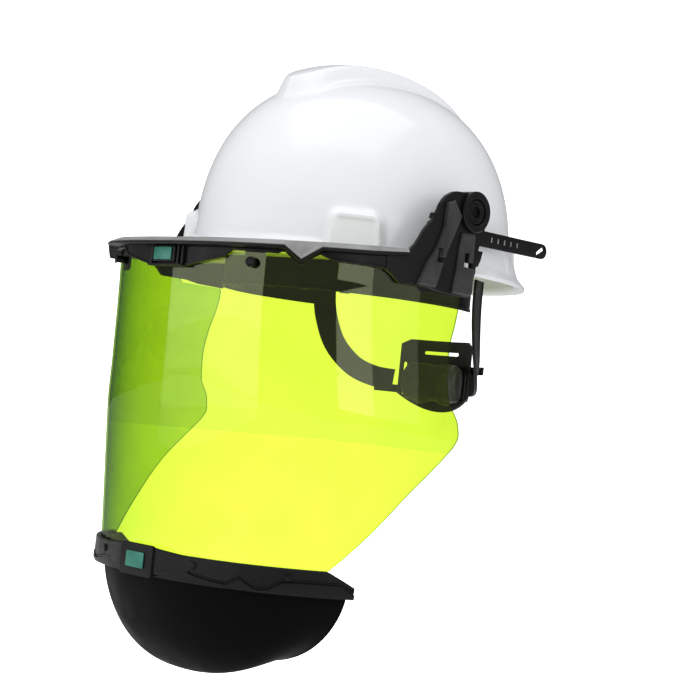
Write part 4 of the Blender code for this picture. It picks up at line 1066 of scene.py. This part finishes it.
def build_chin():
    marks = set(np.linspace(0, arc_at_y(BAND_REAR_Y, BAND_TOP_Z), 90))
    marks |= {arc_at_x(x) for x, _ in WING} | {arc_at_x(0.067), arc_at_x(0.080)}
    sections = [band_section(s) for s in both_ways(marks)]
    add_skin("chin_channel", sections, replaced=("chin_band",), sharp=26)
    for side, word in SIDES:
        fairing = []
        for share in np.linspace(0, 1, 15):
            s = side * arc_at_x(0.0185 + 0.0290 * float(share))
            out = 0.0062 - 0.0026 * float(ease(share))
            top, low = -0.2081 - 0.0026 * share, -0.2262 + 0.0045 * share
            loop = [
                (0.0028, low), (out - 0.0008, low + 0.0002), (out, low + 0.0010), (out, top - 0.0009),
                (out - 0.0006, top), (0.0028, top - 0.0024),
            ]
            fairing.append(around_visor(s, loop))
        add_skin(f"chin_tab_{word}", fairing, sharp=26)
        for place, x in zip(("front", "rear"), RIVET_X):
            s = side * arc_at_x(x)
            turned(
                f"rivet_turned_{place}_{word}", RIVET, visor_point(s, RIVET_Z), out_direction(s, RIVET_Z),
                replaced=(f"chin_rivet_{place}_{word}",), count=32,
            )
    build_bowl()
    for node, look, width in (
        ("chin_clip", "frame", 0.0006), ("chin_badge", "badge", 0.0003),
        ("latch_button", "frame", 0.0005), ("latch_badge", "badge", 0.0003),
    ):
        refined(node, look, width)


def build_bowl():
    """The deep open-backed cup: deepest in front, narrowing downwards."""
    columns = 90
    end = arc_at_y(BOWL_REAR_Y, BAND_BOTTOM_Z)
    levels = [radians(a) for a in np.linspace(0, 84, 44)]

    def row(angle, inset):
        size, fall = cos(angle) ** BOWL_TAPER, sin(angle) ** BOWL_SAG
        points = []
        for i in range(-columns, columns + 1):
            x, y, _ = visor_point(end * i / columns, BAND_BOTTOM_Z, BOWL_LIP - inset)
            forward = (BOWL_REAR_Y - min(y, BOWL_REAR_Y)) * size
            ramp = ease(forward / (BOWL_REAR_Y - CHIN_FRONT_Y) / BOWL_RAMP)
            depth = BOWL_DEPTH * fall * (BOWL_REAR_SHARE + (1 - BOWL_REAR_SHARE) * ramp)
            depth -= inset * sin(angle) ** 2
            points.append((x * size, BOWL_REAR_Y - forward, BAND_BOTTOM_Z - 0.0003 - depth))
        return points

    count = 2 * columns + 1
    half = len(levels) * count
    points = [p for inset in (0.0, BOWL_WALL) for angle in levels for p in row(angle, inset)]
    faces = []
    for i in range(len(levels) - 1):
        for j in range(count - 1):
            a, b = i * count + j, (i + 1) * count + j
            faces.append((a, b, b + 1, a + 1))
            faces.append((half + a, half + a + 1, half + b + 1, half + b))
        for j in (0, count - 1):
            a, b = i * count + j, (i + 1) * count + j
            faces.append((a, half + a, half + b, b))
    last = (len(levels) - 1) * count
    for j in range(count - 1):
        faces.append((j, j + 1, half + j + 1, half + j))
    faces.append(tuple(last + j for j in range(count)))
    faces.append(tuple(half + last + j for j in range(count)))
    faces.append((last, last + count - 1, half + last + count - 1, half + last))
    add_piece("chin_cup", points, faces, "bowl", "visor_assembly", ("chin_bowl",), 50)


# ---------------------------------------------------------------- suspension
STRAP_SECTION = (  # across, thickness
    (-0.0095, 0.0), (0.0095, 0.0), (0.0095, 0.0008), (0.0088, 0.0012), (0.0078, 0.0010), (-0.0078, 0.0010),
    (-0.0088, 0.0012), (-0.0095, 0.0008),
)
NAPE_SECTION = (
    (-0.0082, 0.0003), (-0.0079, 0.0), (0.0079, 0.0), (0.0082, 0.0003), (0.0082, 0.0017), (0.0078, 0.0021),
    (0.0070, 0.0021), (0.0064, 0.0014), (-0.0064, 0.0014), (-0.0070, 0.0021), (-0.0078, 0.0021),
    (-0.0082, 0.0017),
)
KNOB = (  # distance to the rear, radius
    (0.1249, 0.0001), (0.1249, 0.0146), (0.1254, 0.0154), (0.1262, 0.0163), (0.1272, 0.0165),
    (0.1318, 0.0165), (0.1330, 0.0161), (0.1339, 0.0150), (0.1342, 0.0138), (0.1341, 0.0126),
    (0.1331, 0.0116), (0.1328, 0.0040), (0.1334, 0.0030), (0.1335, 0.0001),
)


def oval_point(turn, z, out, size):
    """A point on an oval round the head, turned from the front, pushed outwards square to it."""
    nx, ny = sin(turn) / size[0], -cos(turn) / size[1]
    length = hypot(nx, ny)
    return size[0] * sin(turn) + out * nx / length, BAND_CENTRE_Y - size[1] * cos(turn) + out * ny / length, z


def build_headband():
    """The band, with a bead along each edge."""
    sections = []
    low, high = -0.027, -0.002
    for i in range(181):
        t = radians(-122 + 244 * i / 180)
        loop = [
            (0.0, low), (0.0016, low), (0.0018, low + 0.0004), (0.0018, low + 0.0018), (0.0012, low + 0.0024),
            (0.0012, high - 0.0024), (0.0018, high - 0.0018), (0.0018, high - 0.0004), (0.0016, high),
            (0.0, high),
        ]
        sections.append([oval_point(t, z, out, HEAD_HALF) for out, z in loop])
    add_skin("headband_moulded", sections, "band", "helmet", ("headband",), 28)


def crown_path(start, end, top, steps=90):
    run = hypot(end[0] - start[0], end[1] - start[1])
    ux, uy = (end[0] - start[0]) / run, (end[1] - start[1]) / run
    path = []
    for i in range(steps + 1):
        a = pi * i / steps
        share = 0.5 - 0.5 * cos(a)
        z = 0.004 + (top - 0.004) * max(sin(a), 0.0) ** 0.9
        x, y = start[0] + (end[0] - start[0]) * share, start[1] + (end[1] - start[1]) * share
        reach = run * (share - 0.5)
        nx, nz = reach / (run / 2) ** 2, z / top**2
        size = hypot(nx, nz)
        path.append(((x, y, z), (-uy, ux, 0.0), (ux * nx / size, uy * nx / size, nz / size)))
    return path


def build_crown_strap(name, node, start, end, top):
    """A woven strap with thicker edges; its UVs are its length and width in millimetres."""
    sections, uvs = [], []
    length, last = 0.0, None
    for point, across, normal in crown_path(start, end, top):
        point = np.array(point)
        if last is not None:
            length += float(np.linalg.norm(point - last))
        last = point
        across, normal = np.array(across), np.array(normal)
        sections.append([tuple(point + across * w + normal * t) for w, t in STRAP_SECTION])
        uvs += [(length * 1000, w * 1000) for w, _ in STRAP_SECTION]
    points, faces = sweep(sections)
    mesh = bpy.data.meshes.new(name)
    mesh.from_pydata(points, [], faces)
    layer = mesh.uv_layers.new(name="length_and_width")
    for loop in mesh.loops:
        layer.data[loop.index].uv = uvs[loop.vertex_index]
    finish_piece(name, mesh, "webbing", "helmet", (node,), 40)


def key_inner_end(spot, side):
    nx, ny = pocket_normal(spot)
    return side * (spot[0] - nx * 0.0132), spot[1] - ny * 0.0132


def smooth_path(knots, steps):
    """A Catmull-Rom curve through the knots."""
    ends = [knots[0]] + list(knots) + [knots[-1]]
    fine = []
    for a, b, c, d in zip(ends, ends[1:], ends[2:], ends[3:]):
        for i in range(steps):
            t = i / steps
            fine.append(tuple(
                0.5 * (2 * b[k] + (c[k] - a[k]) * t + (2 * a[k] - 5 * b[k] + 4 * c[k] - d[k]) * t * t
                       + (3 * b[k] - a[k] - 3 * c[k] + d[k]) * t**3)
                for k in range(len(b))
            ))
    fine.append(tuple(knots[-1]))
    return fine


def build_nape_strap(side, word):
    """The hanging strap: down from the rear key, then round to the nape cradle, with beaded edges."""
    knots = [  # degrees from the back, height
        (62, -0.0040), (62, -0.0200), (60, -0.0370), (55, -0.0560), (46, -0.0710),
        (36, -0.0775), (26.5, -0.0790),
    ]
    fine = smooth_path(knots, 14)
    mean_radius = 0.095
    sections = []
    for i, (turn, z) in enumerate(fine):
        before, after = fine[max(i - 1, 0)], fine[min(i + 1, len(fine) - 1)]
        run = radians(before[0] - after[0]) * mean_radius
        fall = after[1] - before[1]
        length = hypot(run, fall)
        loop = []
        for across, out in NAPE_SECTION:
            shifted = turn + across * fall / length / radians(1) / mean_radius
            height = z + across * run / length
            loop.append(oval_point(radians(180 - side * shifted), height, out, NAPE_HALF))
        sections.append(loop)
    add_skin(f"nape_strap_moulded_{word}", sections, "band", "helmet", (f"nape_strap_{word}",), 32)


def build_cradle():
    """The nape cradle: a curved plate with a beaded edge, a long window and two rows of slots."""
    sections = []
    for i in range(97):
        turn = -24.0 + 0.5 * i
        share = abs(turn) / 24
        low = -0.101 + 0.012 * share**2
        high = -0.046 - 0.004 * max(0.0, share - 0.8) / 0.2
        loop = [
            (0.0, low), (0.0018, low), (0.0022, low + 0.0005), (0.0022, low + 0.0020), (0.0016, low + 0.0027),
            (0.0016, high - 0.0027), (0.0022, high - 0.0020), (0.0022, high - 0.0005),
            (0.0018, high), (0.0, high),
        ]
        sections.append([oval_point(radians(180 - turn), z, out, NAPE_HALF) for out, z in loop])
    cradle = add_skin("cradle_moulded", sections, "band", "helmet", ("nape_cradle",), 28)

    def window(x0, x1, z0, z1):
        outline = softened([(x0, z0), (x1, z0), (x1, z1), (x0, z1)], 0.0018, 4)
        return cutter_object([[(x, y, z) for x, z in outline] for y in (0.095, 0.125)])

    cutters = [window(-0.018, 0.018, -0.0570, -0.0544)]
    for x in (-0.032, -0.026, 0.026, 0.032):
        cutters.append(window(x - 0.0016, x + 0.0016, -0.0900, -0.0640))
    cut(cradle, cutters)


def build_knob():
    """The adjusting knob, turned with a gripping rim of rounded teeth and a dished face."""
    teeth = 14
    count = teeth * 16
    sections = []
    for y, radius in KNOB:
        ring = []
        for i in range(count):
            a = 2 * pi * i / count
            grip = max(0.0, cos(teeth * a)) ** 6 * 0.0015 if radius > 0.0140 else 0.0
            r = max(radius - grip, 0.0001)
            ring.append((r * cos(a), y, RACK_Z + r * sin(a)))
        sections.append(ring)
    add_skin("knob_turned", sections, "frame", "ratchet", ("ratchet_knob",), 34)


def soft_pad(name, node, start, end, low, high, inner, outer, size, creases):
    """A padded strip round the oval, swollen by a cloth simulation and then creased."""
    steps, sides = 40, 14
    sections = []
    thin = 0.0008  # left free on each side for the swelling
    for i in range(steps + 1):
        share = i / steps
        t = radians(start + (end - start) * share)
        close = 1 - 0.35 * (2 * abs(share - 0.5)) ** 8
        middle, half = (low + high) / 2, (high - low) / 2 * close - thin
        ring = []
        for k in range(sides):
            a = 2 * pi * k / sides
            out = (inner + outer) / 2 + ((outer - inner) / 2 - thin) * cos(a)
            ring.append(oval_point(t, middle + half * np.sign(sin(a)) * abs(sin(a)) ** 0.6, out, size))
        sections.append(ring)
    pad = add_skin(name, sections, "pad", "helmet", (node,), 60)
    swell(pad, 0.0040, 0.0016)
    dress = pad.data
    rest = [v.co.copy() for v in dress.vertices]
    for v, home in zip(dress.vertices, rest):
        around = atan2(home.x / size[0], (home.y - BAND_CENTRE_Y) / size[1])
        wave = sin(around * creases) * sin(home.z * 230 + around * 9)
        lump = noise.noise(home * 85) * 0.0009 + wave * 0.00035
        normal = Vector((home.x / size[0] ** 2, (home.y - BAND_CENTRE_Y) / size[1] ** 2, 0)).normalized()
        v.co = home - normal * (abs(lump) if (v.normal @ normal) < 0 else 0)
    clamp_radial(dress, size, inner, outer, low, high)
    dress.shade_smooth()


def clamp_radial(mesh, size, inner, outer, low, high):
    """Keeps a pad's points inside the strip its CAD solid holds."""
    for v in mesh.vertices:
        v.co.z = min(max(v.co.z, low), high)
        turn = atan2(v.co.x / size[0], -(v.co.y - BAND_CENTRE_Y) / size[1])
        for _ in range(2):
            foot = Vector(oval_point(turn, v.co.z, 0.0, size))
            tip = Vector(oval_point(turn, v.co.z, 0.01, size))
            normal = (tip - foot).normalized()
            gap = v.co - foot
            slide = gap - normal * gap.dot(normal)
            turn += slide.dot(Vector((cos(turn), sin(turn), 0))) / 0.1
        out = gap.dot(normal)
        bounded = min(max(out, inner), outer)
        v.co += normal * (bounded - out)


def swell(pad, voxel, cap):
    """Remeshes a pad and lets cloth pressure fill it, with each point's movement capped."""
    step = pad.modifiers.new("remesh", "REMESH")
    step.mode = "VOXEL"
    step.voxel_size = voxel
    bake(pad)
    rest = [v.co.copy() for v in pad.data.vertices]
    cloth = pad.modifiers.new("cloth", "CLOTH")
    cloth.settings.use_pressure = True
    cloth.settings.uniform_pressure_force = 4
    cloth.settings.effector_weights.gravity = 0
    cloth.settings.tension_stiffness = 8
    scene = bpy.context.scene
    for number in range(1, 21):
        scene.frame_set(number)
    bake(pad)
    scene.frame_set(1)
    for v, home in zip(pad.data.vertices, rest):
        gap = v.co - home
        if gap.length > cap:
            v.co = home + gap * (cap / gap.length)
    pad.modifiers.new("fine", "SUBSURF").levels = 1
    bake(pad)


def build_suspension():
    build_headband()
    ends = {}
    for side, word in SIDES:
        for place, spot in zip(("front", "rear"), POCKETS):
            refined(f"suspension_key_{place}_{word}", "band", 0.0006)
            ends[place, word] = key_inner_end(spot, side)
        build_nape_strap(side, word)
        refined(f"rack_tail_{word}", "band", 0.0002)
    for name, front, rear, top in (("lower", "left", "right", 0.094), ("upper", "right", "left", 0.0962)):
        start, end = ends["front", front], ends["rear", rear]
        build_crown_strap(f"crown_webbing_{name}", f"crown_strap_{name}", start, end, top)
    build_cradle()
    build_knob()
    refined("ratchet_housing", "band", 0.0006)
    refined("ratchet_pinion", "band", 0.0002)
    refined("detent_ring", "steel", 0.0001)
    soft_pad("brow_cushion", "brow_pad", -64, 64, -0.030, 0.000, -0.0062, -0.0004, HEAD_HALF, 26)
    soft_pad("nape_cushion", "nape_pad", 159, 201, -0.0975, -0.0610, -0.0090, -0.0006, NAPE_HALF, 40)


build_shell()
build_visor()
build_frame()
build_pegs()
for side, word in SIDES:
    build_side(side, word)
build_chin()
build_suspension()
